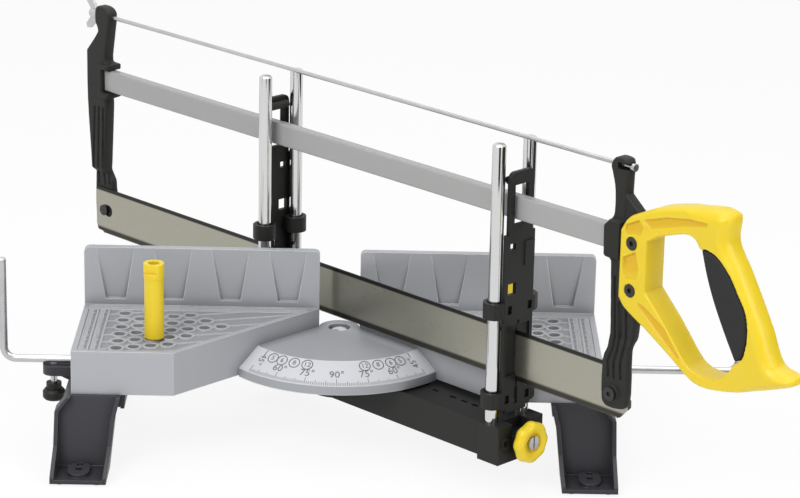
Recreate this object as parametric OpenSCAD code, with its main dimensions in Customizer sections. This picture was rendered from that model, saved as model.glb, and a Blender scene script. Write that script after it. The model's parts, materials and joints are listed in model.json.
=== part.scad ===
// Manual mitre saw: two fenced tables, a dial between them and a swinging arm
// that carries a framed hand saw in two sliding guides.
// Origin: centre of the four bench screw holes, on the bench. +X right, +Y back, +Z up.

/* [Tables] */
// Height of the table tops above the bench
table_top = 90; // [86:0.5:100]
// From the middle of the saw to the outer end of each table
table_reach = 194.5; // [190:0.5:198]
// Depth of the tables in front of the fence
table_depth = 104; // [98:0.5:106]
// Half of the gap between the two fences
gap_half = 15.5; // [14:0.5:17]
// Height of the table apron
apron_h = 33.5; // [32:0.5:35]
// Wall of the apron
apron_t = 3.2; // [2.6:0.1:4]
// Thickness of the deck
deck_t = 4; // [3:0.5:6]
// Height of the fence above the deck
fence_h = 46; // [40:1:60]
// Thickness of the fence
fence_t = 6; // [5:0.5:8]
// Swing of the arm to each side, also the angle of the tables' inner walls
mitre_limit = 45; // [43:0.5:46]

/* [Deck and fence relief] */
// Diameter of the peg holes in the deck
peg_hole_d = 8.6; // [7:0.2:9.4]
// Diameter of the raised rings round the peg holes
ring_d = 12.6; // [11.4:0.2:13.2]
// Spacing of the hole columns
col_pitch = 12.4; // [12:0.1:13.4]
// Spacing of the holes in a column
row_pitch = 15.2; // [14.4:0.1:16]
// Shift of each column against the one before it
row_rise = 3.35; // [2:0.05:4]
// Depth of the pocket that leaves the rings and ribs standing
pocket_depth = 0.8; // [0.4:0.1:1.4]
// Spacing of the tapering panels in the fence
panel_pitch = 43.75; // [36:0.25:45]
// Width of a fence panel at its top
panel_top_w = 28.6; // [22:0.2:34]
// Width of a fence panel at its foot
panel_foot_w = 15.3; // [10:0.1:20]
// Depth of a fence panel at its foot
panel_depth = 2.6; // [1:0.1:3]

/* [Sector] */
// Drop from the deck to the sector plate
sector_drop = 14.6; // [13:0.2:16]
// Radius of the sector plate
sector_r = 94; // [90:0.5:98]
// Thickness of the sector plate
sector_t = 5; // [4:0.5:6]
// From the sector's top to the foot of its rim
rim_h = 20; // [18:0.25:20.5]
// Thickness of the sector's rim
rim_t = 4; // [3:0.5:5]
// Width of the sloping scale band
band_w = 19; // [16:0.5:22]
// Fall of the scale band over its width
band_fall = 13; // [10:0.5:14]

/* [Pivot] */
// Diameter of the pivot bolt
pivot_d = 10; // [8:0.5:11]
// Diameter of the pivot bolt's head
pivot_head_d = 15; // [14:0.5:18]
// Running clearance between shafts and bores, on the radius
run_clear = 0.08; // [0.04:0.01:0.1]

/* [Legs] */
// From the tables' outer ends in to the bench screws
bench_in = 7.5; // [5.5:0.5:9.5]
// From the legs' upright walls out to the bench screws
bench_out = 22; // [19:0.5:25]
// Diameter of the bench screw holes
bench_hole_d = 5.5; // [4:0.5:6.5]
// From the legs' upright walls out to the toe of each foot
foot_out = 38; // [36:0.5:44]
// Sheet thickness of the legs
leg_t = 3; // [2.4:0.1:3.6]

/* [Length stops] */
// Diameter of the stop rods
stop_d = 6; // [5:0.5:7]
// Length of the stop rods inside the bend
stop_l = 145; // [138:1:150]
// Height of the upright end above the rod
stop_rise = 79; // [50:1:100]
// Reach of the left stop past the table's end
left_stop_out = 55.5; // [51.5:1:61.5]
// Reach of the right stop past the table's end
right_stop_out = 106; // [99.5:0.5:109.5]
// Diameter of the stop knobs
stop_knob_d = 17; // [14:0.5:22]
// Diameter of the stop screws
stop_screw_d = 5; // [4:0.5:6]

/* [Cam posts] */
// Diameter of the cam posts
post_d = 15.3; // [14:0.1:18]
// Height of the cam posts above the deck
post_h = 58.5; // [40:0.5:70]
// Shift of the post against its stem
post_shift = 1.5; // [1:0.1:3]

/* [Arm] */
// Width of the swing arm
beam_w = 44; // [40:0.5:46]
// Height of the swing arm
beam_h = 26; // [25:0.5:27]
// Wall of the swing arm
beam_t = 3.2; // [2.6:0.1:3.6]
// Clearance between the front collars and the tables
collar_gap = 0.65; // [0.5:0.05:3]
// From the pivot to the rear rods
rear_rod_s = 67.3; // [65:0.1:70]
// Diameter of the rods
rod_d = 10; // [8:0.5:11]
// Half of the distance between the two rods of a pair
rod_half = 16; // [15.5:0.5:17]
// Length of the rods
rod_l = 234; // [225:1:260]

/* [Guides] */
// Thickness of the guide plates
plate_t = 3.2; // [2.6:0.1:4]
// Half width of the guide plates, on the side that overlaps a rod
plate_half = 16; // [15:0.5:18]
// Wall of the collars on the rods
collar_wall = 3.5; // [3:0.25:5]
// Height of a collar
collar_h = 12; // [10:0.5:14]
// Clearance between the blade and its slit, each side
slit_clear = 0.3; // [0.3:0.05:0.6]

/* [Lock] */
// Diameter of the lock knob
lock_d = 32; // [28:0.5:34]
// Thickness of the lock knob
lock_h = 9; // [8:0.5:11]
// Diameter of the lock screw
lock_screw_d = 6; // [5:0.25:6.5]

/* [Saw] */
// Height of the teeth above the sector plate
tooth_lift = 7.6; // [7:0.1:9]
// Height of the blade
blade_h = 40; // [36:0.5:42]
// Thickness of the blade
blade_t = 1; // [0.8:0.1:1.4]
// Distance between the blade's two holes
blade_pins = 560; // [550:1:570]
// Pitch of the teeth
tooth_pitch = 2; // [1.6:0.1:4]
// From the blade's back to the spine
frame_gap = 83.3; // [80:0.5:90]
// Height of the spine bar
spine_h = 17.5; // [14:0.5:18]
// Width of the spine bar
spine_w = 8; // [6:0.5:9]
// From the spine to the tension rod
wire_rise = 44; // [42:0.5:50]
// Diameter of the tension rod
wire_d = 3.2; // [2.4:0.2:4]
// Thickness of the posts
post_t = 10; // [9:0.5:12]
// Thickness of the handle
handle_t = 20; // [18:0.5:24]
// Length of the handle behind the blade's rear hole
handle_l = 157; // [150:0.5:164]
// Thickness of the hand grip
grip_t = 23; // [22:0.5:28]
// Diameter of the handle screws
handle_screw_d = 5; // [4:0.5:6]

/* [Hidden] */
$fn = 64;
eps = 0.5;
seat = 0.05;
part_gap = 0.3;

// Colours
metal_grey = [0.66, 0.67, 0.69];
plastic_black = [0.13, 0.13, 0.14];
plastic_yellow = [0.93, 0.75, 0.05];
steel = [0.78, 0.78, 0.8];
dark_steel = [0.3, 0.3, 0.32];

// Places shared by the base
pivot_y = table_depth / 2 - 2;
apron_bottom = table_top - apron_h;
sector_top = table_top - sector_drop;
rim_bottom = sector_top - rim_h;
wall_cos = cos(mitre_limit);
wall_tan = tan(mitre_limit);
wall_offset = gap_half * wall_cos;
wall_start = gap_half * sin(mitre_limit);

// Places of the deck
border_w = 4;
ruler_w = 7;
ruler_gap = 1.4;
foot_rib_w = 2;
field_back = 10;
field_outer = table_reach - border_w - 2 * ruler_w - 2 * ruler_gap;
first_col_x = table_reach - 32.5;
first_row_y = -18.7;
left_post_hole = [2, 4];
right_post_hole = [3, 3];
hole_wall_gap = 16;
rib_w = 1.3;

// Places of the legs and the screws in them
bench_x = table_reach - bench_in;
leg_screw_x = table_reach - 16.5;
leg_screw_y = table_depth / 2 - 12;
leg_boss_r = 5.5;
leg_bore_r = 2.1;
foot_lift = 1.5;
leg_in_top = table_reach - 36.5;
leg_in_foot = table_reach - 28.5;
leg_out_top = table_reach + 3;
leg_out_foot = table_reach + 12.5;
web_top_y = (table_depth + fence_t) / 2 + 1;
web_foot_y = web_top_y + 9;
foot_y = web_top_y + foot_out;
bench_y = web_top_y + bench_out;
nub_r = 6;

// Places of the length stops
stop_y = -2;
stop_z = apron_bottom + 8;
stop_rib_x = table_reach - 26.5;
bend_r = 9;
lug_x = table_reach + 18.5;
lug_half = 8;
lug_top = stop_z - stop_d / 2 - 0.5;
lug_h = 7.5;
knob_drop = 7.5;
knob_neck_d = 11.5;
knob_neck_h = 5;
stop_knob_h = 13;

// Height of the pivot bolt's domed head
pivot_head_h = 4.5;

// Screws between the sector and the tables
bed_s = [24, 48];
bed_z = sector_top - sector_t - 2.5;
bed_r = 2.5;
flange_t = 5;
flange_l = 43;
flange_h = 8;

// Places of the arm
collar_r = rod_d / 2 + collar_wall;
corner_s = wall_start + table_depth / wall_cos;
front_rod_s = corner_s + (collar_r + collar_gap) / wall_cos + (rod_half - wall_offset) * wall_tan;
beam_top = apron_bottom - 2.9;
beam_bottom = beam_top - beam_h;
front_back = rod_d / 2 + 1;
rear_back = 10;
bracket_out = 14.5;
beam_front = front_rod_s - front_back;
beam_rear = rear_rod_s - rear_back;
bracket_half = rod_half + rod_d / 2 + 2.5;
bracket_bottom = beam_bottom - 2.6;
socket_floor = bracket_bottom + 4;
tongue_l = 20;
tongue_half = beam_w / 2 - beam_t - part_gap;
deck_under = beam_top - beam_t - 0.8;
bracket_screw_s = 12;
bracket_screw_t = 12;
bracket_screw_r = 2;
grub_r = 2.5;
lock_z = (beam_top + beam_bottom) / 2;
grub_z = lock_z;
boss_r = 14;
boss_bottom = beam_bottom + 8;
hub_r = beam_w / 2 + 1;
hub_bottom = beam_bottom - 1.6;
lock_boss_r = 9;
lock_boss_l = 5.6;

// Places of the lock
knob_back = front_rod_s + bracket_out + lock_boss_l + part_gap;
shoe_s = 62;
shoe_l = 10;
shoe_half = 5;
shoe_top = sector_top - sector_t - part_gap;
ramp = 0.25;
wedge_l = 20;
wedge_half = 7.5;
wedge_top = deck_under - 0.45;
wedge_travel = 6;

// Heights of the saw
tooth_z = sector_top + tooth_lift;
back_z = tooth_z + blade_h;
spine_z = back_z + frame_gap;
spine_top = spine_z + spine_h;
wire_z = spine_top + wire_rise;

// Places of the guides
plate_in = rod_d / 2 + 0.4;
dimple = 4.4;
front_near_trim = 1.5;
front_far_trim = 1;
rear_trim = 3;
guide_bottom = beam_top + 6.9;
guide_top = spine_top + 18.7;
low_collar_z = guide_bottom + 4.7;
high_collar_z = back_z + 10.7;
window_half = spine_w / 2 + 3;
window_top = spine_top + 9;
window_bottom = spine_z - 3;
slit_bottom = tooth_z - 17;
slit_top = back_z + 6;

// Places along the saw
saw_shift = 0.7;
toe_s = saw_shift - blade_pins / 2;
heel_s = saw_shift + blade_pins / 2;
blade_end = 10;
pin_z = tooth_z + blade_h / 2;
pin_r = 3;
pin_head_r = pin_r + 1.4;
key_r = pin_head_r + 0.5;
key_s = 4.8;
spine_in = 7;
socket_half = spine_w / 2 + 4;
web_half = 4;
hook_s = 5;
web_l = 19;
lap_t = 6;
handle_k = handle_l / 157;
screw_a = [heel_s + 15 * handle_k, spine_z + 11 * handle_k];
screw_b = [heel_s + 15 * handle_k, spine_z - 23 * handle_k];
nut_r = 4.6;
nut_h = 4;

// Frames and extrusion helpers

// Moves to the pivot axis
module home() { translate([0, pivot_y, 0]) children(); }

// X runs along the arm from the pivot towards the lock knob, Y across it
module arm_frame() { home() rotate([0, 0, mitre_limit - 90]) children(); }

// Extrudes an outline drawn in X and Z from y0 to y1
module side(y0, y1) { translate([0, y1, 0]) rotate([90, 0, 0]) linear_extrude(y1 - y0) children(); }

// Extrudes an outline drawn in Y and Z from x0 to x1
module facing(x0, x1) { translate([x0, 0, 0]) rotate([90, 0, 90]) linear_extrude(x1 - x0) children(); }

// A cylinder along X from x0 to x1
module bar_x(x0, x1, r) { translate([x0, 0, 0]) rotate([0, 90, 0]) cylinder(h = x1 - x0, r = r); }

// A cylinder along Y from y0 to y1
module bar_y(y0, y1, r) { translate([0, y1, 0]) rotate([90, 0, 0]) cylinder(h = y1 - y0, r = r); }

// A flat rectangle with round corners, centred
module round_rect(w, h, r) {
  square([w - 2 * r, h], center = true);
  square([w, h - 2 * r], center = true);
  for (x = [-1, 1]) for (y = [-1, 1]) translate([x * (w / 2 - r), y * (h / 2 - r)]) circle(r);
}

// Tables, drawn for the right side with the pivot at the origin

// X of the inner wall at depth y, moved in by w
function wall_x(y, w) = gap_half + w / wall_cos - y * wall_tan;
function col_x(i) = first_col_x - i * col_pitch;
function row_y(i, j) = first_row_y - j * row_pitch + i * row_rise;
function to_wall(x, y) = (x - wall_x(y, 0)) * wall_cos;
function hole_here(i, j) = j >= i - 3 && row_y(i, j) <= -16 && row_y(i, j) >= 8 - table_depth
  && to_wall(col_x(i), row_y(i, j)) >= hole_wall_gap;

module table_plan() {
  polygon([[gap_half, 0], [gap_half, fence_t], [table_reach, fence_t],
    [table_reach, -table_depth], [wall_x(-table_depth, 0), -table_depth]]);
}

module cavity_plan() {
  w = apron_t;
  polygon([[gap_half + w, (w / wall_cos - w) / wall_tan], [gap_half + w, fence_t - w],
    [table_reach - w, fence_t - w], [table_reach - w, w - table_depth],
    [wall_x(w - table_depth, w), w - table_depth]]);
}

module field_plan() {
  polygon([[wall_x(-field_back, border_w), -field_back], [field_outer, -field_back],
    [field_outer, border_w - table_depth],
    [wall_x(border_w - table_depth, border_w), border_w - table_depth]]);
}

module fence_outline() {
  corner = 4;
  difference() {
    translate([gap_half, table_top - deck_t]) square([table_reach - gap_half, fence_h + deck_t]);
    translate([gap_half - eps, table_top + fence_h - corner]) square([corner + eps, corner + eps]);
    translate([table_reach - corner, table_top + fence_h - corner]) square([corner + eps, corner + eps]);
  }
  translate([gap_half + corner, table_top + fence_h - corner]) circle(corner);
  translate([table_reach - corner, table_top + fence_h - corner]) circle(corner);
}

module deck_cuts() {
  floor_z = table_top - pocket_depth;
  translate([0, 0, floor_z]) linear_extrude(pocket_depth + eps) field_plan();
  for (k = [0, 1])
    translate([table_reach - border_w - ruler_w - k * (ruler_w + ruler_gap),
      border_w - table_depth, floor_z])
      cube([ruler_w, table_depth - border_w - field_back, pocket_depth + eps]);
  for (k = [0, 1])
    translate([gap_half + field_back, -foot_rib_w * (2 * k + 2), floor_z])
      cube([table_reach - gap_half - field_back - border_w, foot_rib_w, pocket_depth + eps]);
}

module deck_ribs() {
  rib_angle = -atan(row_rise / col_pitch);
  intersection() {
    translate([0, 0, table_top - pocket_depth - eps]) linear_extrude(pocket_depth + eps) field_plan();
    for (j = [-1:7])
      translate([first_col_x, row_y(0, j), table_top - 3]) rotate([0, 0, rib_angle])
        translate([-table_reach, -rib_w / 2, 0]) cube([2 * table_reach, rib_w, 4]);
  }
}

module deck_rings() {
  for (i = [0:6]) for (j = [0:6]) if (hole_here(i, j))
    translate([col_x(i), row_y(i, j), table_top - pocket_depth - eps])
      cylinder(h = pocket_depth + eps, d = ring_d);
}

module deck_holes() {
  for (i = [0:6]) for (j = [0:6]) if (hole_here(i, j))
    translate([col_x(i), row_y(i, j), table_top - deck_t - 1]) cylinder(h = deck_t + 2, d = peg_hole_d);
}

module fence_panels() {
  panel_h = fence_h - 5;
  tilt = atan(panel_depth / panel_h);
  for (k = [0:3])
    translate([table_reach - 23.8 - k * panel_pitch, 0, table_top + fence_h])
      rotate([tilt, 0, 0]) side(-4, 0)
        polygon([[-panel_top_w / 2, 0.2], [panel_top_w / 2, 0.2],
          [panel_foot_w / 2, -panel_h], [-panel_foot_w / 2, -panel_h]]);
}

module table_right() {
  difference() {
    union() {
      difference() {
        translate([0, 0, apron_bottom]) linear_extrude(apron_h) table_plan();
        translate([0, 0, apron_bottom - 1]) linear_extrude(apron_h - deck_t + 1) cavity_plan();
        deck_cuts();
      }
      side(0, fence_t) fence_outline();
      deck_ribs();
      deck_rings();
      for (y = [-1, 1]) translate([leg_screw_x, y * leg_screw_y - pivot_y, apron_bottom])
        cylinder(h = apron_h - deck_t + eps, r = leg_boss_r);
      translate([stop_rib_x, stop_y - pivot_y - 8, apron_bottom + 2])
        cube([apron_t, 16, apron_h - deck_t - 2 + eps]);
    }
    deck_holes();
    fence_panels();
    for (y = [-1, 1]) translate([leg_screw_x, y * leg_screw_y - pivot_y, apron_bottom - 1])
      cylinder(h = 19, r = leg_bore_r);
    translate([0, stop_y - pivot_y, stop_z]) bar_x(stop_rib_x - 1, table_reach + 1, stop_d / 2 + run_clear);
    rotate([0, 0, mitre_limit - 90]) for (s = bed_s)
      translate([s, 0, bed_z]) bar_y(wall_offset - 1, wall_offset + apron_t + 1, bed_r + 0.1);
  }
}

module left_table() { color(metal_grey) home() mirror([1, 0, 0]) table_right(); }
module right_table() { color(metal_grey) home() table_right(); }

// Sector plate with its scale band, rim and side flanges

module sector_plan() {
  far_y = -2 * sector_r;
  far_x = wall_x(far_y, 0);
  intersection() {
    circle(sector_r);
    union() {
      polygon([[-gap_half, 0], [gap_half, 0], [far_x, far_y], [-far_x, far_y]]);
      circle(gap_half);
    }
  }
}

// Half section of the plate, the scale band and the rim
module sector_profile() {
  band_r = sector_r - band_w;
  under_z = sector_top - sector_t;
  inner_r = sector_r - rim_t;
  polygon([[0, sector_top], [band_r, sector_top], [sector_r, sector_top - band_fall], [sector_r, rim_bottom],
    [inner_r, rim_bottom], [inner_r, under_z - band_fall * (inner_r - band_r) / band_w],
    [band_r, under_z], [0, under_z]]);
}

module sector_flange() {
  rotate([0, 0, mitre_limit - 90])
    translate([wall_start + 4, wall_offset - flange_t, sector_top - sector_t + eps - flange_h])
      cube([flange_l, flange_t, flange_h]);
}

module sector_plate() {
  color(metal_grey) home() difference() {
    union() {
      intersection() {
        translate([0, 0, rim_bottom - 1]) linear_extrude(rim_h + 2) sector_plan();
        rotate_extrude() sector_profile();
      }
      sector_flange();
      mirror([1, 0, 0]) sector_flange();
      translate([0, 0, beam_top + part_gap]) cylinder(h = sector_top - beam_top - part_gap - 1, r = boss_r);
    }
    translate([0, 0, beam_top - 1]) cylinder(h = rim_h + 10, d = pivot_d + 0.1);
    translate([0, 0, sector_top - 5]) cylinder(h = 6, d = pivot_head_d + 2);
    for (m = [0, 1]) mirror([m, 0, 0]) rotate([0, 0, mitre_limit - 90]) for (s = bed_s)
      translate([s, 0, bed_z]) bar_y(wall_offset - flange_t - 1, wall_offset + 1, bed_r + 0.1);
  }
}

module bed_screws() {
  color(steel) home() for (m = [0, 1]) mirror([m, 0, 0]) rotate([0, 0, mitre_limit - 90])
    for (s = bed_s) translate([s, 0, bed_z]) {
      bar_y(wall_offset - flange_t, wall_offset + apron_t + eps, bed_r);
      bar_y(wall_offset + apron_t, wall_offset + apron_t + 3, bed_r + 2);
    }
}

// Pivot

module pivot_bolt() {
  color(steel) home() {
    translate([0, 0, boss_bottom - 11.5]) cylinder(h = sector_top - boss_bottom + 8, d = pivot_d);
    translate([0, 0, sector_top - 5]) intersection() {
      cylinder(h = pivot_head_h, d = pivot_head_d);
      translate([0, 0, pivot_head_h - pivot_head_d]) sphere(pivot_head_d);
    }
  }
}

module pivot_washer() {
  color(steel) home() translate([0, 0, boss_bottom - part_gap - 2]) difference() {
    cylinder(h = 2, r = pivot_d / 2 + 5);
    translate([0, 0, -1]) cylinder(h = 4, r = pivot_d / 2 + seat);
  }
}

module pivot_nut() {
  color(steel) home() translate([0, 0, boss_bottom - part_gap - 10]) difference() {
    cylinder(h = 8, r = pivot_d / 2 + 4.8, $fn = 6);
    translate([0, 0, -1]) cylinder(h = 10, r = pivot_d / 2 + seat);
  }
}

// Legs, drawn for the right side

module leg_outline(inset) {
  polygon([[leg_in_top + inset, apron_bottom], [leg_in_top + 4 + inset, apron_bottom - 16.5],
    [leg_in_foot + inset, foot_lift], [leg_out_foot - inset, foot_lift],
    [leg_out_foot - 1 - inset, apron_bottom - 10.5], [leg_out_top - inset, apron_bottom]]);
}

module web_profile() {
  half = [[web_top_y - leg_t, apron_bottom - leg_t - 1], [web_foot_y - leg_t, foot_lift],
    [foot_y, foot_lift], [foot_y, foot_lift + leg_t], [web_foot_y, foot_lift + leg_t],
    [web_top_y, apron_bottom]];
  polygon([for (p = half) p]);
  polygon([for (p = half) [-p[0], p[1]]]);
  translate([-web_top_y, apron_bottom - leg_t - 1]) square([2 * web_top_y, leg_t + 1]);
}

module flange_profile() {
  half = [[web_top_y - 8, apron_bottom], [web_top_y + 5, apron_bottom],
    [web_top_y + 14, foot_lift + 20], [foot_y - 9, foot_lift + 11], [foot_y, foot_lift + 5],
    [foot_y, foot_lift], [web_foot_y - 6, foot_lift]];
  polygon(half);
  polygon([for (p = half) [-p[0], p[1]]]);
}

module foot_pad() {
  for (y = [-4, 5]) translate([bench_x, bench_y - y, foot_lift]) cylinder(h = leg_t + 3, r = 8);
  translate([bench_x - 8, bench_y - 5, foot_lift]) cube([16, 9, leg_t + 3]);
}

module leg_right() {
  difference() {
    union() {
      intersection() {
        facing(leg_in_top - 1, leg_out_foot + 1) web_profile();
        side(-foot_y - 1, foot_y + 1) leg_outline(0);
      }
      intersection() {
        facing(leg_in_top - 1, leg_out_foot + 1) flange_profile();
        difference() {
          side(-foot_y - 1, foot_y + 1) leg_outline(0);
          side(-foot_y - 2, foot_y + 2) leg_outline(leg_t);
        }
      }
      for (m = [0, 1]) mirror([0, m, 0]) {
        foot_pad();
        translate([bench_x, bench_y, 0]) cylinder(h = foot_lift + eps, r = nub_r);
        for (x = [leg_in_foot + 7, leg_out_foot - 7])
          translate([x, foot_y - 7, 0]) cylinder(h = foot_lift + eps, r = 4);
        translate([bench_x, web_foot_y + 1, 0]) cylinder(h = foot_lift + eps, r = 4);
      }
      translate([leg_out_top - 8, stop_y - lug_half, lug_top - lug_h])
        cube([lug_x - leg_out_top + 8, 2 * lug_half, apron_bottom - lug_top + lug_h]);
      translate([table_reach + part_gap, stop_y - lug_half, apron_bottom - 1])
        cube([lug_x - table_reach - part_gap, 2 * lug_half, lug_top - apron_bottom + 1]);
      translate([lug_x, stop_y, lug_top - lug_h]) cylinder(h = lug_h, r = lug_half);
      side(stop_y - 3, stop_y + 3) polygon([[leg_out_top - 3, apron_bottom - 1],
        [lug_x - 3, apron_bottom - 1],
        [lug_x - 3, lug_top - lug_h - 0.5], [leg_out_top - 3, lug_top - lug_h - 8]]);
    }
    for (y = [-1, 1]) {
      translate([bench_x, y * bench_y, -1]) cylinder(h = foot_lift + leg_t + 6, d = bench_hole_d);
      translate([leg_screw_x, y * leg_screw_y, apron_bottom - 8]) cylinder(h = 10, r = leg_bore_r + 0.2);
      translate([bench_x, y * (bench_y - 8.5), foot_lift + leg_t + 1]) cylinder(h = 4, r = 2.6);
    }
    translate([lug_x, stop_y, lug_top - lug_h - 1])
      cylinder(h = lug_h + 2, r = stop_screw_d / 2 + run_clear);
  }
}

module left_leg() { color(plastic_black) mirror([1, 0, 0]) leg_right(); }
module right_leg() { color(plastic_black) leg_right(); }

module leg_screws() {
  head_z = apron_bottom - leg_t - 1;
  color(steel) for (x = [-1, 1]) for (y = [-1, 1]) translate([x * leg_screw_x, y * leg_screw_y, 0]) {
    translate([0, 0, head_z - 3]) cylinder(h = 3, r = leg_bore_r + 2.2);
    translate([0, 0, head_z - 0.5]) cylinder(h = 20, r = leg_bore_r);
  }
}

// Length stops

module stop_rod(bend_x) {
  translate([0, stop_y, stop_z]) {
    bar_x(bend_x - stop_l, bend_x - bend_r, stop_d / 2);
    translate([bend_x - bend_r, 0, bend_r]) rotate([90, 0, 0]) rotate([0, 0, -90])
      rotate_extrude(angle = 90) translate([bend_r, 0]) circle(d = stop_d);
    translate([bend_x, 0, bend_r]) cylinder(h = stop_rise - bend_r - 1, d = stop_d);
    translate([bend_x, 0, stop_rise - 1]) cylinder(h = 1, d1 = stop_d, d2 = stop_d - 1.6);
  }
}

module stop_knob() {
  top = lug_top - lug_h - knob_drop;
  flange_h = stop_knob_h - knob_neck_h;
  translate([lug_x, stop_y, top - stop_knob_h]) difference() {
    union() {
      cylinder(h = 1.5, d1 = stop_knob_d - 2.5, d2 = stop_knob_d);
      translate([0, 0, 1.5]) cylinder(h = flange_h - 3.5, d = stop_knob_d);
      translate([0, 0, flange_h - 2]) cylinder(h = 2, d1 = stop_knob_d, d2 = stop_knob_d - 3);
      translate([0, 0, flange_h - eps]) cylinder(h = knob_neck_h + eps, d = knob_neck_d);
    }
    translate([0, 0, 4]) cylinder(h = stop_knob_h, r = stop_screw_d / 2 + seat);
  }
}

module stop_screw() {
  base_z = lug_top - lug_h - knob_drop - stop_knob_h + 4;
  translate([lug_x, stop_y, base_z])
    cylinder(h = stop_z - stop_d / 2 - part_gap - base_z, d = stop_screw_d);
}

module left_stop_rod() { color(steel) mirror([1, 0, 0]) stop_rod(table_reach + left_stop_out); }
module right_stop_rod() { color(steel) stop_rod(table_reach + right_stop_out); }
module left_stop_knob() { color(plastic_black) mirror([1, 0, 0]) stop_knob(); }
module right_stop_knob() { color(plastic_black) stop_knob(); }
module left_stop_screw() { color(steel) mirror([1, 0, 0]) stop_screw(); }
module right_stop_screw() { color(steel) stop_screw(); }

// Cam posts: a round post set off from the stem that turns in the deck

module cam_post(hole) {
  stem_l = deck_t + 8;
  collar_z = post_h - 11;
  translate([col_x(hole[0]), pivot_y + row_y(hole[0], hole[1]), table_top]) {
    translate([0, 0, -stem_l]) cylinder(h = stem_l + 1, r = peg_hole_d / 2 - run_clear);
    translate([-post_shift, 0, part_gap]) difference() {
      union() {
        cylinder(h = 1.5, d1 = post_d - 2, d2 = post_d);
        translate([0, 0, 1.5]) cylinder(h = collar_z - 1.5, d = post_d - 0.8);
        translate([0, 0, collar_z]) cylinder(h = post_h - collar_z, d = post_d);
      }
      translate([0, 0, post_h - 24]) cylinder(h = 26, r = post_d / 2 - 3.4);
      rotate([0, 0, 20]) translate([-post_d, -post_d - 5.6, collar_z + 4]) cube([2 * post_d, post_d, 20]);
    }
  }
}

module left_post() { color(plastic_yellow) mirror([1, 0, 0]) cam_post(left_post_hole); }
module right_post() { color(plastic_yellow) cam_post(right_post_hole); }

// Swing arm and its brackets

module arm_beam() {
  inner = beam_w / 2 - beam_t;
  length = beam_front + beam_rear;
  color(plastic_black) arm_frame() difference() {
    union() {
      difference() {
        translate([-beam_rear, -beam_w / 2, beam_bottom]) cube([length, beam_w, beam_h]);
        translate([-beam_rear - 1, -inner, beam_bottom - 1])
          cube([length + 2, 2 * inner, deck_under - beam_bottom + 1]);
      }
      translate([0, 0, boss_bottom]) cylinder(h = deck_under - boss_bottom + eps, r = boss_r);
      difference() {
        translate([0, 0, hub_bottom]) cylinder(h = beam_top - hub_bottom, r = hub_r);
        translate([0, 0, hub_bottom - 1]) cylinder(h = deck_under - hub_bottom + 1, r = hub_r - beam_t);
      }
    }
    translate([0, 0, boss_bottom - 1]) cylinder(h = beam_h, r = pivot_d / 2 + run_clear);
    translate([shoe_s - part_gap, -shoe_half - part_gap, deck_under - 1])
      cube([shoe_l + 2 * part_gap, 2 * (shoe_half + part_gap), 8]);
    for (s = [102, 120, 132, 143]) translate([s, -2.5, deck_under - 1]) cube([6, 3, 8]);
    for (t = [-1, 1]) {
      translate([beam_front - bracket_screw_s, t * bracket_screw_t, deck_under - 1])
        cylinder(h = 3.5, r = bracket_screw_r + seat);
      translate([bracket_screw_s - beam_rear, t * bracket_screw_t, deck_under - 1])
        cylinder(h = 3.5, r = bracket_screw_r + seat);
    }
  }
}

// A bracket with its rods at x = 0, its outer face at positive x and its back against the beam
module bracket(back, lock) {
  front = bracket_out;
  difference() {
    union() {
      translate([-back, -bracket_half, bracket_bottom])
        cube([back + front, 2 * bracket_half, beam_top - bracket_bottom]);
      translate([-back - tongue_l, -tongue_half, boss_bottom])
        cube([tongue_l + 1, 2 * tongue_half, deck_under - boss_bottom]);
      for (t = [-1, 1]) translate([0, t * rod_half, grub_z]) bar_x(front - 1, front + 1.2, grub_r + 2);
      if (lock) translate([0, 0, lock_z]) bar_x(front - 1, front + lock_boss_l, lock_boss_r);
    }
    for (t = [-1, 1]) {
      translate([0, t * rod_half, socket_floor]) cylinder(h = beam_h + 10, r = rod_d / 2 + seat);
      translate([0, t * rod_half, grub_z]) bar_x(0, front + 2, grub_r + seat);
      translate([-back - bracket_screw_s, t * bracket_screw_t, boss_bottom - 1])
        cylinder(h = beam_h, r = bracket_screw_r + 0.1);
    }
    translate([front - 10, -rod_half + rod_d / 2 + 2, beam_top - 9])
      cube([11, 2 * rod_half - rod_d - 4, 10]);
    if (lock) translate([0, 0, lock_z])
      bar_x(-back - tongue_l - 1, front + lock_boss_l + 1, lock_screw_d / 2 + run_clear);
  }
}

module front_bracket() {
  color(plastic_black) arm_frame() translate([front_rod_s, 0, 0]) bracket(front_back, true);
}

module rear_bracket() {
  color(plastic_black) arm_frame() translate([-rear_rod_s, 0, 0])
    mirror([1, 0, 0]) bracket(rear_back, false);
}

module bracket_screws() {
  color(steel) arm_frame() for (s = [beam_front - bracket_screw_s, bracket_screw_s - beam_rear])
    for (t = [-1, 1]) translate([s, t * bracket_screw_t, 0]) {
      translate([0, 0, boss_bottom - 2.5]) cylinder(h = 2.5, r = bracket_screw_r + 2);
      translate([0, 0, boss_bottom - 0.5]) cylinder(h = deck_under + 2 - boss_bottom, r = bracket_screw_r);
    }
}

module rod_screws() {
  front = bracket_out;
  color(dark_steel) arm_frame() for (m = [0, 1])
    translate([m == 0 ? front_rod_s : -rear_rod_s, 0, 0]) mirror([m, 0, 0])
      for (t = [-1, 1]) translate([0, t * rod_half, grub_z]) difference() {
        bar_x(rod_d / 2 + seat, front, grub_r);
        translate([front - 2, 0, 0]) rotate([0, 90, 0]) cylinder(h = 3, r = 1.4, $fn = 6);
      }
}

module rod(s, t) {
  color(steel) arm_frame() translate([s, t * rod_half, socket_floor]) {
    cylinder(h = rod_l - 1, d = rod_d);
    translate([0, 0, rod_l - 1]) cylinder(h = 1, d1 = rod_d, d2 = rod_d - 2);
  }
}

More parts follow.
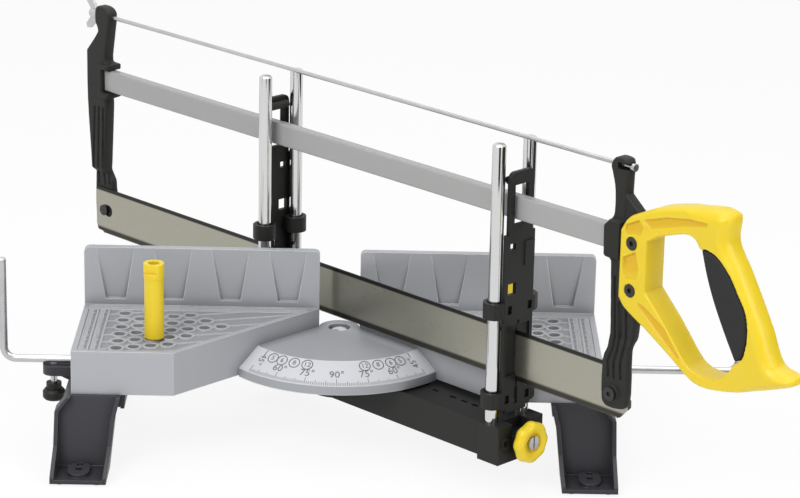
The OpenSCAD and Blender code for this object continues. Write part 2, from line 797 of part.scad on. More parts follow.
module front_rod_near() { rod(front_rod_s, -1); }
module front_rod_far() { rod(front_rod_s, 1); }
module rear_rod_near() { rod(-rear_rod_s, -1); }
module rear_rod_far() { rod(-rear_rod_s, 1); }

// Lock: the knob's screw draws the wedge, and the wedge lifts the shoe against the sector plate

module lock_knob() {
  r = lock_d / 2;
  color(plastic_yellow) arm_frame() translate([knob_back, 0, lock_z]) rotate([0, 90, 0]) difference() {
    rotate_extrude() polygon([[lock_screw_d / 2 + seat, 0], [r - 3, 0], [r, 2.5], [r, lock_h - 2.5],
      [r - 2, lock_h], [r - 5, lock_h], [r - 7, lock_h - 4], [lock_screw_d / 2 + seat, lock_h - 4]]);
    for (a = [22.5:45:350]) rotate([0, 0, a]) translate([r + 3, 0, -1]) cylinder(h = lock_h + 2, r = 5);
  }
}

module lock_screw() {
  tip = shoe_s - wedge_travel - 5;
  color(steel) arm_frame() translate([0, 0, lock_z]) {
    bar_x(tip, knob_back + lock_h - 3, lock_screw_d / 2);
    difference() {
      bar_x(knob_back + lock_h - 4, knob_back + lock_h - 1, lock_screw_d / 2 + 2);
      translate([knob_back + lock_h - 2.5, -0.7, -9]) cube([3, 1.4, 18]);
    }
  }
}

module lock_wedge() {
  start = shoe_s - 3;
  color(plastic_black) arm_frame() difference() {
    side(-wedge_half, wedge_half) polygon([[start, lock_z - 7], [start, wedge_top],
      [start + wedge_l, wedge_top - ramp * wedge_l], [start + wedge_l, lock_z - 7]]);
    translate([0, 0, lock_z]) bar_x(start - 1, start + wedge_l + 1, lock_screw_d / 2 + run_clear);
  }
}

module lock_shoe() {
  foot = wedge_top - 3 * ramp + part_gap;
  color(plastic_black) arm_frame() side(-shoe_half, shoe_half) polygon([[shoe_s, foot], [shoe_s, shoe_top],
    [shoe_s + shoe_l, shoe_top], [shoe_s + shoe_l, foot - ramp * shoe_l]]);
}

// Guides, drawn with the rods at x = 0 and the plate at positive x

module plate_outline(near, far) {
  shoulder_z = spine_z - 10;
  plate_low = guide_bottom + 2.5;
  wide = near + far;
  step = 2.5;
  corner = 5;
  difference() {
    union() {
      translate([-near, plate_low]) square([wide, shoulder_z - plate_low]);
      translate([-near + 4, guide_bottom]) square([wide - 8, 10]);
      translate([-near + step, shoulder_z - 1])
        square([wide - 2 * step, guide_top - corner - shoulder_z + 1]);
      translate([-near + step + corner, guide_top - 8]) square([wide - 2 * (step + corner), 8]);
      for (t = [-near + step + corner, far - step - corner])
        translate([t, guide_top - corner]) circle(corner);
    }
    translate([-window_half, window_bottom]) square([2 * window_half, window_top - window_bottom]);
    translate([-blade_t / 2 - slit_clear, slit_bottom])
      square([blade_t + 2 * slit_clear, slit_top - slit_bottom]);
    translate([0, slit_top]) circle(2);
    translate([-2, slit_bottom]) square([4, tooth_z - slit_bottom - 4]);
    translate([-10.5, spine_z - 21.5]) square([5.8, 4.8]);
    translate([-11.8, back_z + 28]) square([8.4, 8.6]);
  }
}

module collar(z) {
  for (t = [-1, 1]) translate([0, t * rod_half, z]) {
    cylinder(h = collar_h, r = collar_r);
    translate([0, 2 - collar_r, 0]) cube([plate_in + 1, 2 * collar_r - 4, collar_h]);
  }
}

module guide(near, far) {
  outer = plate_in + plate_t;
  lead = 1.3;
  difference() {
    union() {
      facing(plate_in, outer) plate_outline(near, far);
      collar(low_collar_z);
      collar(high_collar_z);
      translate([plate_in + 1, 4.5, back_z + 48]) cube([plate_t, far - 5.5, 18]);
      translate([plate_in - 1.5, 0, window_top + 3.2]) bar_y(-10, 10, 3);
    }
    for (z = [low_collar_z, high_collar_z]) {
      for (t = [-1, 1]) translate([0, t * rod_half, z]) {
        translate([0, 0, -1]) cylinder(h = collar_h + 2, r = rod_d / 2 + run_clear);
        translate([0, 0, collar_h - lead]) cylinder(h = lead + 0.1, r1 = rod_d / 2, r2 = rod_d / 2 + lead);
      }
      for (t = [dimple / 2 + 3.1 - near, far - dimple / 2 - 1])
        translate([outer - 2.4, t - dimple / 2, z + 2.6]) cube([3, dimple, dimple + 2]);
    }
    translate([outer - 1.5, -near + 3, tooth_z + 6]) cube([3, near + far - 6, blade_h - 2]);
  }
}

module front_guide() {
  color(plastic_black) arm_frame() translate([front_rod_s, 0, 0])
    guide(plate_half - front_near_trim, plate_half - front_far_trim);
}

module rear_guide() {
  color(plastic_black) arm_frame() translate([-rear_rod_s, 0, 0]) rotate([0, 0, 180])
    guide(plate_half, plate_half - rear_trim);
}

// Saw frame

module blade() {
  start = toe_s - blade_end;
  length = heel_s - toe_s + 2 * blade_end;
  depth = tooth_pitch * 0.7;
  count = floor((length - 16) / tooth_pitch);
  teeth = [for (k = [0:count - 1]) for (q = [0, 1])
    [start + 8 + (k + q / 2) * tooth_pitch, tooth_z + (q == 0 ? depth : 0)]];
  color(steel) arm_frame() difference() {
    side(-blade_t / 2, blade_t / 2) polygon(concat([[start, back_z - 1], [start, tooth_z + 7],
      [start + 2, tooth_z + 2]], teeth, [[start + length - 6, tooth_z + depth],
      [start + length, tooth_z + 8], [start + length, back_z - 1]]));
    for (s = [toe_s, heel_s]) translate([s, 0, pin_z]) bar_y(-blade_t, blade_t, pin_r + seat);
    translate([toe_s, -blade_t, pin_z - pin_r - seat]) cube([key_s, 2 * blade_t, 2 * (pin_r + seat)]);
    translate([toe_s + key_s, 0, pin_z]) bar_y(-blade_t, blade_t, key_r);
  }
}

module spine() {
  color(metal_grey) arm_frame() facing(toe_s - spine_in + 10, heel_s + spine_in - 12)
    translate([0, spine_z + spine_h / 2]) round_rect(spine_w, spine_h, 1.5);
}

module tension_rod() {
  color(steel) arm_frame() translate([0, 0, wire_z]) {
    bar_x(toe_s - 15, heel_s + hook_s + 1, wire_d / 2);
    bar_x(heel_s + hook_s, heel_s + hook_s + 3, wire_d / 2 + 1.2);
  }
}

module spine_pocket() {
  translate([toe_s - spine_in + 10, -spine_w / 2 - seat, spine_z - seat])
    cube([heel_s - toe_s + 2 * spine_in - 22, spine_w + 2 * seat, spine_h + 2 * seat]);
}

module toe_outline() {
  polygon([[toe_s - 4.5, wire_z + 4.5], [toe_s - 1, wire_z + 8], [toe_s + 9, wire_z + 7],
    [toe_s + 13, wire_z + 2.5], [toe_s + 11.3, wire_z - 12], [toe_s + 7, spine_top + 10],
    [toe_s + 7, spine_z - 6], [toe_s + 8.5, spine_z - 12], [toe_s + 6, back_z + 14],
    [toe_s - 11.3, back_z + 16.5], [toe_s - 15.3, spine_z - 10], [toe_s - 15.6, spine_top + 14.5],
    [toe_s - 1.5, wire_z - 12.5], [toe_s - 4.5, wire_z - 6]]);
}

module toe_post() {
  half = post_t / 2;
  color(plastic_black) arm_frame() difference() {
    union() {
      side(-half, half) toe_outline();
      side(blade_t / 2, blade_t / 2 + lap_t) polygon([[toe_s - 11.5, back_z + 22], [toe_s + 5, back_z + 22],
        [toe_s + 5, back_z + 12], [toe_s + 8.7, back_z + 6.5], [toe_s + 11.5, back_z - 8],
        [toe_s + 11.5, tooth_z + 14], [toe_s + 6, tooth_z + 9], [toe_s - 9, tooth_z + 9],
        [toe_s - 12.3, tooth_z + 13], [toe_s - 12.3, back_z + 9]]);
      translate([toe_s + 2, -socket_half, spine_z - 5]) cube([11.5, 2 * socket_half, spine_h + 10]);
    }
    spine_pocket();
    translate([0, 0, wire_z]) bar_x(toe_s - 10, toe_s + 20, wire_d / 2 + seat);
    translate([toe_s, 0, pin_z]) bar_y(0, lap_t + 2, pin_r + seat);
    for (k = [0, 1, 2]) translate([toe_s - 8 + k * 5, -half - 1, back_z + 24])
      cube([1.6, 2.2, spine_z - back_z - 40]);
  }
}

module heel_outline() {
  polygon([[heel_s - 10.7, wire_z - 1], [heel_s - 8.6, wire_z + 4], [heel_s - 5, wire_z + 6],
    [heel_s + 2, wire_z + 5.6], [heel_s + hook_s, wire_z + 3.4], [heel_s + hook_s, wire_z - 4],
    [heel_s + 3.8, wire_z - 19], [heel_s + 15.8, spine_top + 15], [heel_s + web_l, spine_top + 8],
    [heel_s + web_l, spine_z - 30], [heel_s + 16, back_z + 34], [heel_s + 14.5, back_z + 20],
    [heel_s + 11.8, back_z + 12], [heel_s - 5.5, back_z + 18.5], [heel_s - 7.6, spine_z - 8],
    [heel_s - 7, spine_top + 8]]);
}

module heel_post() {
  half = post_t / 2;
  color(plastic_black) arm_frame() difference() {
    union() {
      side(-web_half, web_half) heel_outline();
      intersection() {
        side(-half, half) heel_outline();
        translate([heel_s - 20, -half, back_z]) cube([23.5, post_t, wire_z]);
      }
      side(-blade_t / 2 - lap_t, -blade_t / 2) polygon([[heel_s - 6, back_z + 24],
        [heel_s + 14.6, back_z + 24], [heel_s + 13.6, back_z + 8], [heel_s + 13.6, tooth_z + 14],
        [heel_s + 9, tooth_z + 10], [heel_s - 5, tooth_z + 9], [heel_s - 9.5, tooth_z + 13],
        [heel_s - 9.5, back_z + 5]]);
      translate([heel_s - 13.5, -socket_half, spine_z - 5]) cube([16, 2 * socket_half, spine_h + 10]);
    }
    spine_pocket();
    translate([0, 0, wire_z]) bar_x(heel_s - 20, heel_s + 12, wire_d / 2 + seat);
    translate([heel_s - 4, -half - 1, wire_z - wire_d / 2 - seat]) cube([16, half + 1, wire_d + 2 * seat]);
    translate([heel_s, 0, pin_z]) bar_y(-lap_t - 2, 0, pin_r + seat);
    for (p = [screw_a, screw_b]) translate([p[0], 0, p[1]])
      bar_y(-half - 1, half + 1, handle_screw_d / 2 + seat);
    for (k = [0, 1, 2]) translate([heel_s - 3.5 + k * 5.5, -lap_t - blade_t / 2 - 1, tooth_z + 32])
      cube([1.6, 2.2, 26]);
  }
}

module blade_pin() {
  color(dark_steel) arm_frame() translate([toe_s, 0, pin_z]) {
    bar_y(-blade_t / 2 - 1.5, blade_t / 2 + lap_t, pin_r);
    bar_y(-blade_t / 2 - 1.5, -blade_t / 2, pin_head_r);
  }
}

module blade_screw() {
  near = -blade_t / 2 - lap_t;
  color(dark_steel) arm_frame() translate([heel_s, 0, pin_z]) {
    bar_y(near - 0.5, blade_t / 2 + 3, pin_r);
    bar_y(blade_t / 2, blade_t / 2 + 3, pin_r + 2);
    difference() {
      bar_y(near - 3, near, pin_r + 2);
      translate([0, near - 1.5, 0]) bar_y(-3, 0, 1.8);
    }
  }
}

// Handle: points are set off from the heel hole and the spine's lower edge

module handle_outline() {
  translate([heel_s, spine_z]) scale(handle_k) polygon([[4, -30], [4, 19], [11, 29], [25, 36.2],
    [36.7, 41.2], [58.4, 46.6], [82.3, 51.3], [91, 51.2], [97.5, 47.8], [97.2, 29.7], [108.2, 12.2],
    [128.5, -22.9], [139.2, -44.6], [151.2, -48.4], [156.2, -49.2], [157, -54], [143.1, -60.5],
    [114.1, -70.3], [86.1, -75.5], [72.5, -73.8], [53.1, -62], [30.9, -48.6], [9.9, -36.9]]);
}

module opening_outline() {
  translate([heel_s, spine_z]) scale(handle_k) polygon([[29, 15.7], [29, -20.3], [48.3, -40.1],
    [68.3, -62.2], [78.6, -66.3], [96.6, -65.3], [109.8, -50.3], [109.1, -49.1], [88.6, -12.3],
    [76.1, 21.6], [70.5, 27.1], [62.8, 29], [45.8, 24.1], [38, 21.4]]);
}

module insert_outline() {
  translate([heel_s, spine_z]) scale(handle_k) polygon([[76.1, 21.6], [88.6, -12.3], [109.1, -49.1],
    [114.8, -46.6], [117.4, -41.8], [119.4, -27.4], [116.7, -14.3], [108.6, -0.7], [100.6, 11],
    [90.4, 20.2], [80, 23]]);
}

module grip_zone() {
  translate([heel_s, spine_z]) scale(handle_k) polygon([[60, 36], [74, 18], [88, -18], [104, -52],
    [120, -54], [136, -42], [112, 0], [96, 36]]);
}

module handle() {
  half = handle_t / 2;
  color(plastic_yellow) arm_frame() difference() {
    union() {
      side(-half, half) handle_outline();
      intersection() {
        side(-grip_t / 2, grip_t / 2) handle_outline();
        side(-grip_t, grip_t) grip_zone();
      }
    }
    side(-grip_t, grip_t) opening_outline();
    side(-grip_t, grip_t) insert_outline();
    translate([heel_s, -web_half - seat, back_z]) cube([web_l + 0.2, 2 * (web_half + seat), wire_z - back_z]);
    for (p = [screw_a, screw_b]) translate([p[0], 0, p[1]]) {
      bar_y(-half - 1, half + 1, handle_screw_d / 2 + 0.1);
      bar_y(-half - 1, 3 - half, handle_screw_d / 2 + 2.1);
      translate([0, half + 1, 0]) rotate([90, 0, 0]) cylinder(h = nut_h + 1, r = nut_r + 0.1, $fn = 6);
    }
  }
}

module grip_insert() { color(plastic_black) arm_frame() side(-grip_t / 2, grip_t / 2) insert_outline(); }

module handle_screws() {
  half = handle_t / 2;
  color(dark_steel) arm_frame() for (p = [screw_a, screw_b]) translate([p[0], 0, p[1]]) difference() {
    union() {
      bar_y(0.5 - half, half, handle_screw_d / 2);
      bar_y(-half, 3 - half, handle_screw_d / 2 + 2);
    }
    translate([0, 2 - half, 0]) rotate([90, 0, 0]) cylinder(h = 4, r = 2, $fn = 6);
  }
}

module handle_nuts() {
  half = handle_t / 2;
  color(dark_steel) arm_frame() for (p = [screw_a, screw_b]) translate([p[0], half, p[1]]) difference() {
    rotate([90, 0, 0]) cylinder(h = nut_h, r = nut_r, $fn = 6);
    bar_y(-nut_h - 1, 1, handle_screw_d / 2 + seat);
  }
}

module wing_nut() {
  face = toe_s - 4.5 - part_gap;
  color(steel) arm_frame() translate([0, 0, wire_z]) difference() {
    union() {
      bar_x(face - 8, face, wire_d / 2 + 2.4);
      for (m = [0, 1]) mirror([0, 0, m]) side(-0.9, 0.9)
        polygon([[face - 1, 2], [face - 4, 8], [face - 9, 13],
          [face - 14, 13.5], [face - 15, 10], [face - 8, 2]]);
    }
    bar_x(face - 20, face + 1, wire_d / 2 + run_clear);
  }
}

left_table();
right_table();
sector_plate();
bed_screws();
left_leg();
right_leg();
leg_screws();
pivot_bolt();
pivot_washer();
pivot_nut();
left_stop_rod();
right_stop_rod();
left_stop_knob();
right_stop_knob();
left_stop_screw();
right_stop_screw();
left_post();
right_post();
arm_beam();
front_bracket();
rear_bracket();
front_rod_near();
front_rod_far();
rear_rod_near();
rear_rod_far();
bracket_screws();
rod_screws();
lock_knob();
lock_screw();
lock_wedge();
lock_shoe();
front_guide();
rear_guide();
blade();
spine();
tension_rod();
toe_post();
heel_post();
blade_pin();
blade_screw();
handle();
grip_insert();
handle_screws();
handle_nuts();
wing_nut();
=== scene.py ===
# %% [markdown]
# # A manual mitre saw, dressed for a studio photograph
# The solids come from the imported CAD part, in metres and already in place. This file gives
# each of them a material, builds the moulded pieces that the solids leave plain, adds the
# scales, and sets up the camera, the floor and the lights.
# Lengths of shapes are written in millimetres, as on a drawing, and turned into metres where
# a mesh is made. Lengths inside materials are in metres, because the nodes read metres.

import json
import math

import bmesh
import bpy
import numpy as np
from mathutils import Matrix, Vector


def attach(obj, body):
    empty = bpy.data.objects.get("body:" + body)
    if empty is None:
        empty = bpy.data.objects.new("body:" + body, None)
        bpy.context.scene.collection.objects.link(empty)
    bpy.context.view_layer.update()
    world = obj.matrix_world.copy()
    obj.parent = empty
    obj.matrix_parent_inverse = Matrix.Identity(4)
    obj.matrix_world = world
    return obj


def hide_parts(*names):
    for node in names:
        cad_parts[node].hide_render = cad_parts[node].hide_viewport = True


MM = 0.001
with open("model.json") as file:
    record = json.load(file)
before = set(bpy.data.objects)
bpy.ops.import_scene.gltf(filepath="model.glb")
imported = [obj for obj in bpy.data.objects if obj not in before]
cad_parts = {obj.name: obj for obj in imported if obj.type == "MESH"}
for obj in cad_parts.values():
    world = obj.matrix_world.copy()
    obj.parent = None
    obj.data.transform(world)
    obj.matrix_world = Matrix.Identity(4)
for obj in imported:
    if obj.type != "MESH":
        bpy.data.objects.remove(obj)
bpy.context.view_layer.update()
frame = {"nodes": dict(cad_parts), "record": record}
nodes = frame["nodes"]

# %% [markdown]
# ## Shared shader helpers
# Every finish here is a tree of shader nodes. Such a tree can be drawn by hand in the Shader
# Editor. In a script each node, value and link would take a line of its own, so a few helpers
# come first. One adds a node and fills its inputs, and an input takes a number or a link alike.

# %% Adding and filling nodes


def feed(tree, value, socket):
    """Link a socket to another node's output, or set it to a plain value."""
    if isinstance(value, bpy.types.NodeSocket):
        tree.links.new(value, socket)
    else:
        socket.default_value = value


def add(tree, kind, **values):
    """Add a node; values go to its inputs, or to its properties where no input has that name."""
    node = tree.nodes.new(kind)
    for key, value in values.items():
        name = key.replace("_", " ")
        if name in node.inputs:
            feed(tree, value, node.inputs[name])
        else:
            setattr(node, key, value)
    return node


print("helpers:", feed.__name__, add.__name__)

# %% [markdown]
# The rest wrap the nodes that are used most often: sums, vector sums, a ramp between two
# values, and a blend of two colours. Each hands back the output that the next node needs.

# %% Sums, ramps and blends


def calc(tree, operation, *values):
    """A Math node; each value is a number or another node's output."""
    node = add(tree, "ShaderNodeMath", operation=operation)
    for value, socket in zip(values, node.inputs):
        feed(tree, value, socket)
    return node.outputs["Value"]


def vector_calc(tree, operation, *values):
    """A Vector Math node; a length or a dot product comes out as a number."""
    node = add(tree, "ShaderNodeVectorMath", operation=operation)
    for value, socket in zip(values, node.inputs):
        feed(tree, value, socket)
    return node.outputs["Value" if operation in ("LENGTH", "DOT_PRODUCT") else "Vector"]


def ramp(tree, value, start, stop, low=0.0, high=1.0):
    """Carry a value from start..stop over to low..high, and hold it at both ends."""
    node = add(tree, "ShaderNodeMapRange", Value=value, From_Min=start, From_Max=stop,
               To_Min=low, To_Max=high)
    return node.outputs["Result"]


def mixed(tree, mask, first, second):
    """Blend two colours by a mask; each is linear RGB or another node's output."""
    first, second = ((*c, 1.0) if isinstance(c, tuple) else c for c in (first, second))
    blend = add(tree, "ShaderNodeMix", data_type="RGBA", Factor=mask, A=first, B=second)
    return blend.outputs["Result"]


print("helpers:", [f.__name__ for f in (calc, vector_calc, ramp, mixed)])

# %% [markdown]
# ## Effects that several finishes share
# An effect that more than one material needs is a node group: it is built once, has named
# inputs and outputs, and is placed in each material with that material's own values.

# %% Making and placing node groups
NUMBER, DIRECTION = "NodeSocketFloat", "NodeSocketVector"


def make_group(name, inputs, outputs):
    """A new shader node group, the sockets that come in and the sockets that go out."""
    group = bpy.data.node_groups.new(name, "ShaderNodeTree")
    for label, value in inputs.items():
        socket = group.interface.new_socket(label, in_out="INPUT", socket_type=NUMBER)
        socket.default_value = value
    for label, kind in outputs.items():
        group.interface.new_socket(label, in_out="OUTPUT", socket_type=kind)
    inlet = group.nodes.new("NodeGroupInput")
    outlet = group.nodes.new("NodeGroupOutput")
    return group, inlet.outputs, outlet.inputs


def use_group(tree, group, **values):
    """Place a node group in a material, fill its inputs and hand back its outputs."""
    return add(tree, "ShaderNodeGroup", node_tree=group, **values).outputs


print("helpers:", make_group.__name__, use_group.__name__)

# %% [markdown]
# ### Grain
# Cast metal and moulded plastic are never one even colour: they have broad, faint blotches and
# a fine speckle. An image could carry both, but it would need an unwrapped mesh. Noise that is
# read from the object's own coordinates needs none, and is equally fine on every piece.

# %% Grain
grain, given, result = make_group("grain", {"Scale": 900.0}, {"Broad": NUMBER, "Fine": NUMBER})
place = add(grain, "ShaderNodeTexCoord").outputs["Object"]
fine = add(grain, "ShaderNodeTexNoise", Vector=place, Scale=given["Scale"], Detail=3.0,
           Roughness=0.6)
broad = add(grain, "ShaderNodeTexNoise", Vector=place, Scale=14.0, Detail=4.0, Roughness=0.55)
feed(grain, broad.outputs["Fac"], result["Broad"])
feed(grain, fine.outputs["Fac"], result["Fine"])
print("grain gives", result.keys())

# %% [markdown]
# ### Soft edges
# No real edge is perfectly sharp, and its small round catches a line of light. The CAD meshes
# stay as they are, so the Bevel node rounds only the shading. Where the rounded normal leans
# away from the true one there is an edge, and this gives a mask for a painted highlight.

# %% Soft edges
edges, given, result = make_group(
    "soft_edges", {"Radius": 0.0006, "Bump": 0.1, "Height": 0.5},
    {"Normal": DIRECTION, "Edge": NUMBER})
rounded = add(edges, "ShaderNodeBevel", samples=4, Radius=given["Radius"]).outputs["Normal"]
bumped = add(edges, "ShaderNodeBump", Distance=0.0002, Strength=given["Bump"],
             Height=given["Height"], Normal=rounded)
true_normal = add(edges, "ShaderNodeNewGeometry").outputs["Normal"]
likeness = vector_calc(edges, "DOT_PRODUCT", rounded, true_normal)
feed(edges, bumped.outputs["Normal"], result["Normal"])
feed(edges, ramp(edges, likeness, 0.995, 0.85), result["Edge"])
print("soft_edges gives", result.keys())

# %% [markdown]
# ### Painted shade in crevices
# Holes and inner corners get painted shade: their base colour is darkened. A painted mask would
# be lost each time the part changes. The Ambient Occlusion node finds these places by itself.

# %% Painted shade in crevices
crevice_shade, given, result = make_group("crevice_shade", {"Distance": 0.008}, {"Shade": NUMBER})
open_sky = add(crevice_shade, "ShaderNodeAmbientOcclusion", samples=6, Distance=given["Distance"])
feed(crevice_shade, calc(crevice_shade, "SUBTRACT", 1.0, open_sky.outputs["AO"]), result["Shade"])
print("crevice gives", result.keys())

# %% [markdown]
# ### A band between two heights
# The blade has dark strips along its back and its teeth, and the sunken floors of the decks get
# painted shade that makes them darker than their ribs. Each of these lies between two heights, so
# a mask made from the Z coordinate is enough and no face has to be picked out.

# %% Height band
height_band, given, result = make_group(
    "height_band", {"Low": 0.0, "High": 1.0, "Soft": 0.001}, {"Mask": NUMBER})
place = add(height_band, "ShaderNodeTexCoord").outputs["Object"]
height = add(height_band, "ShaderNodeSeparateXYZ", Vector=place).outputs["Z"]
low, high, soft = given["Low"], given["High"], given["Soft"]
rises = ramp(height_band, height, calc(height_band, "SUBTRACT", low, soft),
             calc(height_band, "ADD", low, soft))
falls = ramp(height_band, height, calc(height_band, "ADD", high, soft),
             calc(height_band, "SUBTRACT", high, soft))
feed(height_band, calc(height_band, "MULTIPLY", rises, falls), result["Mask"])
print("node groups:", [g.name for g in bpy.data.node_groups])

# %% [markdown]
# ## Materials
# Castings, plastics and paint differ in their values more than in their build. One recipe
# makes them all: a base colour that drifts with the broad grain, painted shade in crevices, a
# painted highlight along edges, and a roughness that follows the fine grain. A tint lays one more
# colour on top of that.

# %% The recipe for castings, plastics and paint
looks = {}


def new_look(name):
    """A new material, kept in looks under its name: its tree and its shader's inputs."""
    looks[name] = bpy.data.materials.new(name)
    looks[name].use_nodes = True
    tree = looks[name].node_tree
    return tree, tree.nodes["Principled BSDF"].inputs


def surface(name, colour, drift, dark, edge_highlight, rough, scale=900.0, bump=0.1, radius=0.0006,
            reach=0.008, highlight_strength=0.3, shade=0.8, gloss=0.5):
    """Colours are linear RGB, rough is the lowest and the highest roughness."""
    tree, shader = new_look(name)
    speck = use_group(tree, grain, Scale=scale)
    edge = use_group(tree, edges, Radius=radius, Bump=bump, Height=speck["Fine"])
    deep = use_group(tree, crevice_shade, Distance=reach)
    tone = mixed(tree, speck["Broad"], colour, drift)
    # Painted shade: the colour darkens towards dark where the crevice mask is strong.
    shaded = mixed(tree, calc(tree, "MULTIPLY", deep["Shade"], shade), tone, dark)
    # Painted highlight: the colour is made paler along edges.
    edge_lit = mixed(tree, calc(tree, "MULTIPLY", edge["Edge"], highlight_strength), shaded, edge_highlight)
    feed(tree, edge_lit, shader["Base Color"])
    feed(tree, ramp(tree, speck["Fine"], 0.0, 1.0, *rough), shader["Roughness"])
    feed(tree, edge["Normal"], shader["Normal"])
    shader["Specular IOR Level"].default_value = gloss


def tint(name, mask, colour, strength=1.0):
    """Lay one more colour over a material's base colour where a mask is 1."""
    tree = looks[name].node_tree
    base = tree.nodes["Principled BSDF"].inputs["Base Color"]
    amount = calc(tree, "MULTIPLY", mask, strength)
    feed(tree, mixed(tree, amount, base.links[0].from_socket, colour), base)


print("helpers:", [f.__name__ for f in (new_look, surface, tint)])

# %% [markdown]
# ### Metals
# The chromed rods have fine streaks along them. An anisotropic shader would only stretch the
# highlights. Noise that is stretched along the rods gives the streaks to the colour, the
# roughness and the bump as well. Screws and nuts use the same recipe with even noise, which
# mottles them.

# %% Steel and chrome


def bare_metal(name, colour, dark, rough, stretch, turn=0, metal=1.0, bump=0.05):
    """stretch scales the noise along each axis, and turn then turns it about Z, in degrees."""
    tree, shader = new_look(name)
    shader["Metallic"].default_value = metal
    place = add(tree, "ShaderNodeTexCoord").outputs["Object"]
    lay = add(tree, "ShaderNodeMapping", Vector=place, Scale=stretch,
              Rotation=(0, 0, math.radians(turn)))
    noise = add(tree, "ShaderNodeTexNoise", Vector=lay.outputs["Vector"], Scale=1.0,
                Detail=5.0, Roughness=0.6)
    streak = noise.outputs["Fac"]
    edge = use_group(tree, edges, Radius=0.0003, Bump=bump, Height=streak)
    feed(tree, mixed(tree, streak, dark, colour), shader["Base Color"])
    feed(tree, ramp(tree, streak, 0.0, 1.0, *rough), shader["Roughness"])
    feed(tree, edge["Normal"], shader["Normal"])


bare_metal("steel", colour=(0.64, 0.64, 0.65), dark=(0.44, 0.44, 0.45), rough=(0.2, 0.36),
           stretch=(60, 60, 60))
bare_metal("chrome", colour=(0.69, 0.69, 0.69), dark=(0.62, 0.62, 0.62), rough=(0.03, 0.09),
           stretch=(900, 900, 12))
bare_metal("dark_steel", colour=(0.075, 0.07, 0.065), dark=(0.03, 0.03, 0.03),
           rough=(0.3, 0.5), stretch=(200, 200, 200), metal=0.7)
print("metals:", list(looks))

# %% [markdown]
# The blade is rolled steel with a warm grey tone. Its teeth are hardened, which leaves a dark
# strip along them, and its back edge is dark as well. The grain is faint, a few millimetres
# long and half as high. The strips could be faces of their own, but the CAD mesh stays as it is.

# %% Blade steel
bare_metal("blade_steel", colour=(0.395, 0.385, 0.32), dark=(0.365, 0.355, 0.295),
           rough=(0.24, 0.34), stretch=(6, 250, 350), turn=45, metal=0.92, bump=0.008)
for low, high, soft, colour in ((0.080, 0.0878, 0.0009, (0.055, 0.052, 0.042)),
                                (0.1190, 0.1250, 0.0005, (0.035, 0.035, 0.033))):
    strip = use_group(looks["blade_steel"].node_tree, height_band, Low=low, High=high, Soft=soft)
    tint("blade_steel", strip["Mask"], colour)
    print("blade strip between", low, "and", high)

# %% [markdown]
# ### Castings
# The tables are grey castings. Their edges get a painted highlight and their holes painted shade.
# The sunken floors of the decks get painted shade too, darker than the ribs. They lie at one
# height and face up, so the height band and the upward normal together find them.

# %% Cast grey
FLOOR_Z = 89.2
surface("cast_grey", colour=(0.39, 0.40, 0.425), drift=(0.35, 0.36, 0.385),
        dark=(0.06, 0.063, 0.072), edge_highlight=(0.90, 0.91, 0.93), rough=(0.34, 0.48),
        scale=1400.0, bump=0.12, radius=0.0008, reach=0.011, highlight_strength=0.85, shade=0.85)
tree = looks["cast_grey"].node_tree
normal = add(tree, "ShaderNodeNewGeometry").outputs["Normal"]
facing = add(tree, "ShaderNodeSeparateXYZ", Vector=normal)
upward = ramp(tree, facing.outputs["Z"], 0.8, 0.95)
sunken = use_group(tree, height_band, Low=(FLOOR_Z - 0.5) * MM, High=(FLOOR_Z + 0.4) * MM,
                   Soft=0.1 * MM)
# Painted shade on the sunken floors of the decks.
tint("cast_grey", calc(tree, "MULTIPLY", upward, sunken["Mask"]), (0.20, 0.205, 0.22), 0.6)
print("deck floors are tinted at", FLOOR_Z, "mm")

# %% [markdown]
# The dial is the same casting, but its sloping scale band gets a painted sheen that makes it
# paler than the plate above it. The band is a ring about the pivot, so its mask is the distance
# from the pivot.

# %% The dial's casting
PIVOT = Vector((0.0, 50.0, 0.0))
BAND_R, BAND_W = 75.0, 19.0
surface("dial_grey", colour=(0.35, 0.36, 0.385), drift=(0.31, 0.32, 0.345),
        dark=(0.08, 0.085, 0.10), edge_highlight=(0.95, 0.96, 0.98), rough=(0.36, 0.5),
        scale=1400.0, bump=0.12, radius=0.0010, reach=0.010, highlight_strength=1.0, shade=0.85)
tree = looks["dial_grey"].node_tree
place = add(tree, "ShaderNodeTexCoord").outputs["Object"]
from_pivot = vector_calc(tree, "SUBTRACT", place, PIVOT * MM)
distance = vector_calc(tree, "LENGTH", vector_calc(tree, "MULTIPLY", from_pivot, (1, 1, 0)))
past_plate = ramp(tree, distance, (BAND_R - 0.3) * MM, (BAND_R + 0.3) * MM)
before_rim = ramp(tree, distance, (BAND_R + BAND_W - 0.2) * MM, (BAND_R + BAND_W - 0.6) * MM)
# Painted sheen on the scale band.
tint("dial_grey", calc(tree, "MULTIPLY", past_plate, before_rim), (0.60, 0.61, 0.64), 0.75)
print("scale band from", BAND_R, "to", BAND_R + BAND_W, "mm")

# %% [markdown]
# ### Paint, plastics and rubber
# The spine bar has a smooth grey paint. The three blacks differ in gloss and grain: the frame's
# moulding is satin, the legs are shinier and slightly blue, and the grip is coarse, dull rubber.
# The marks on the dial are matt and dark.

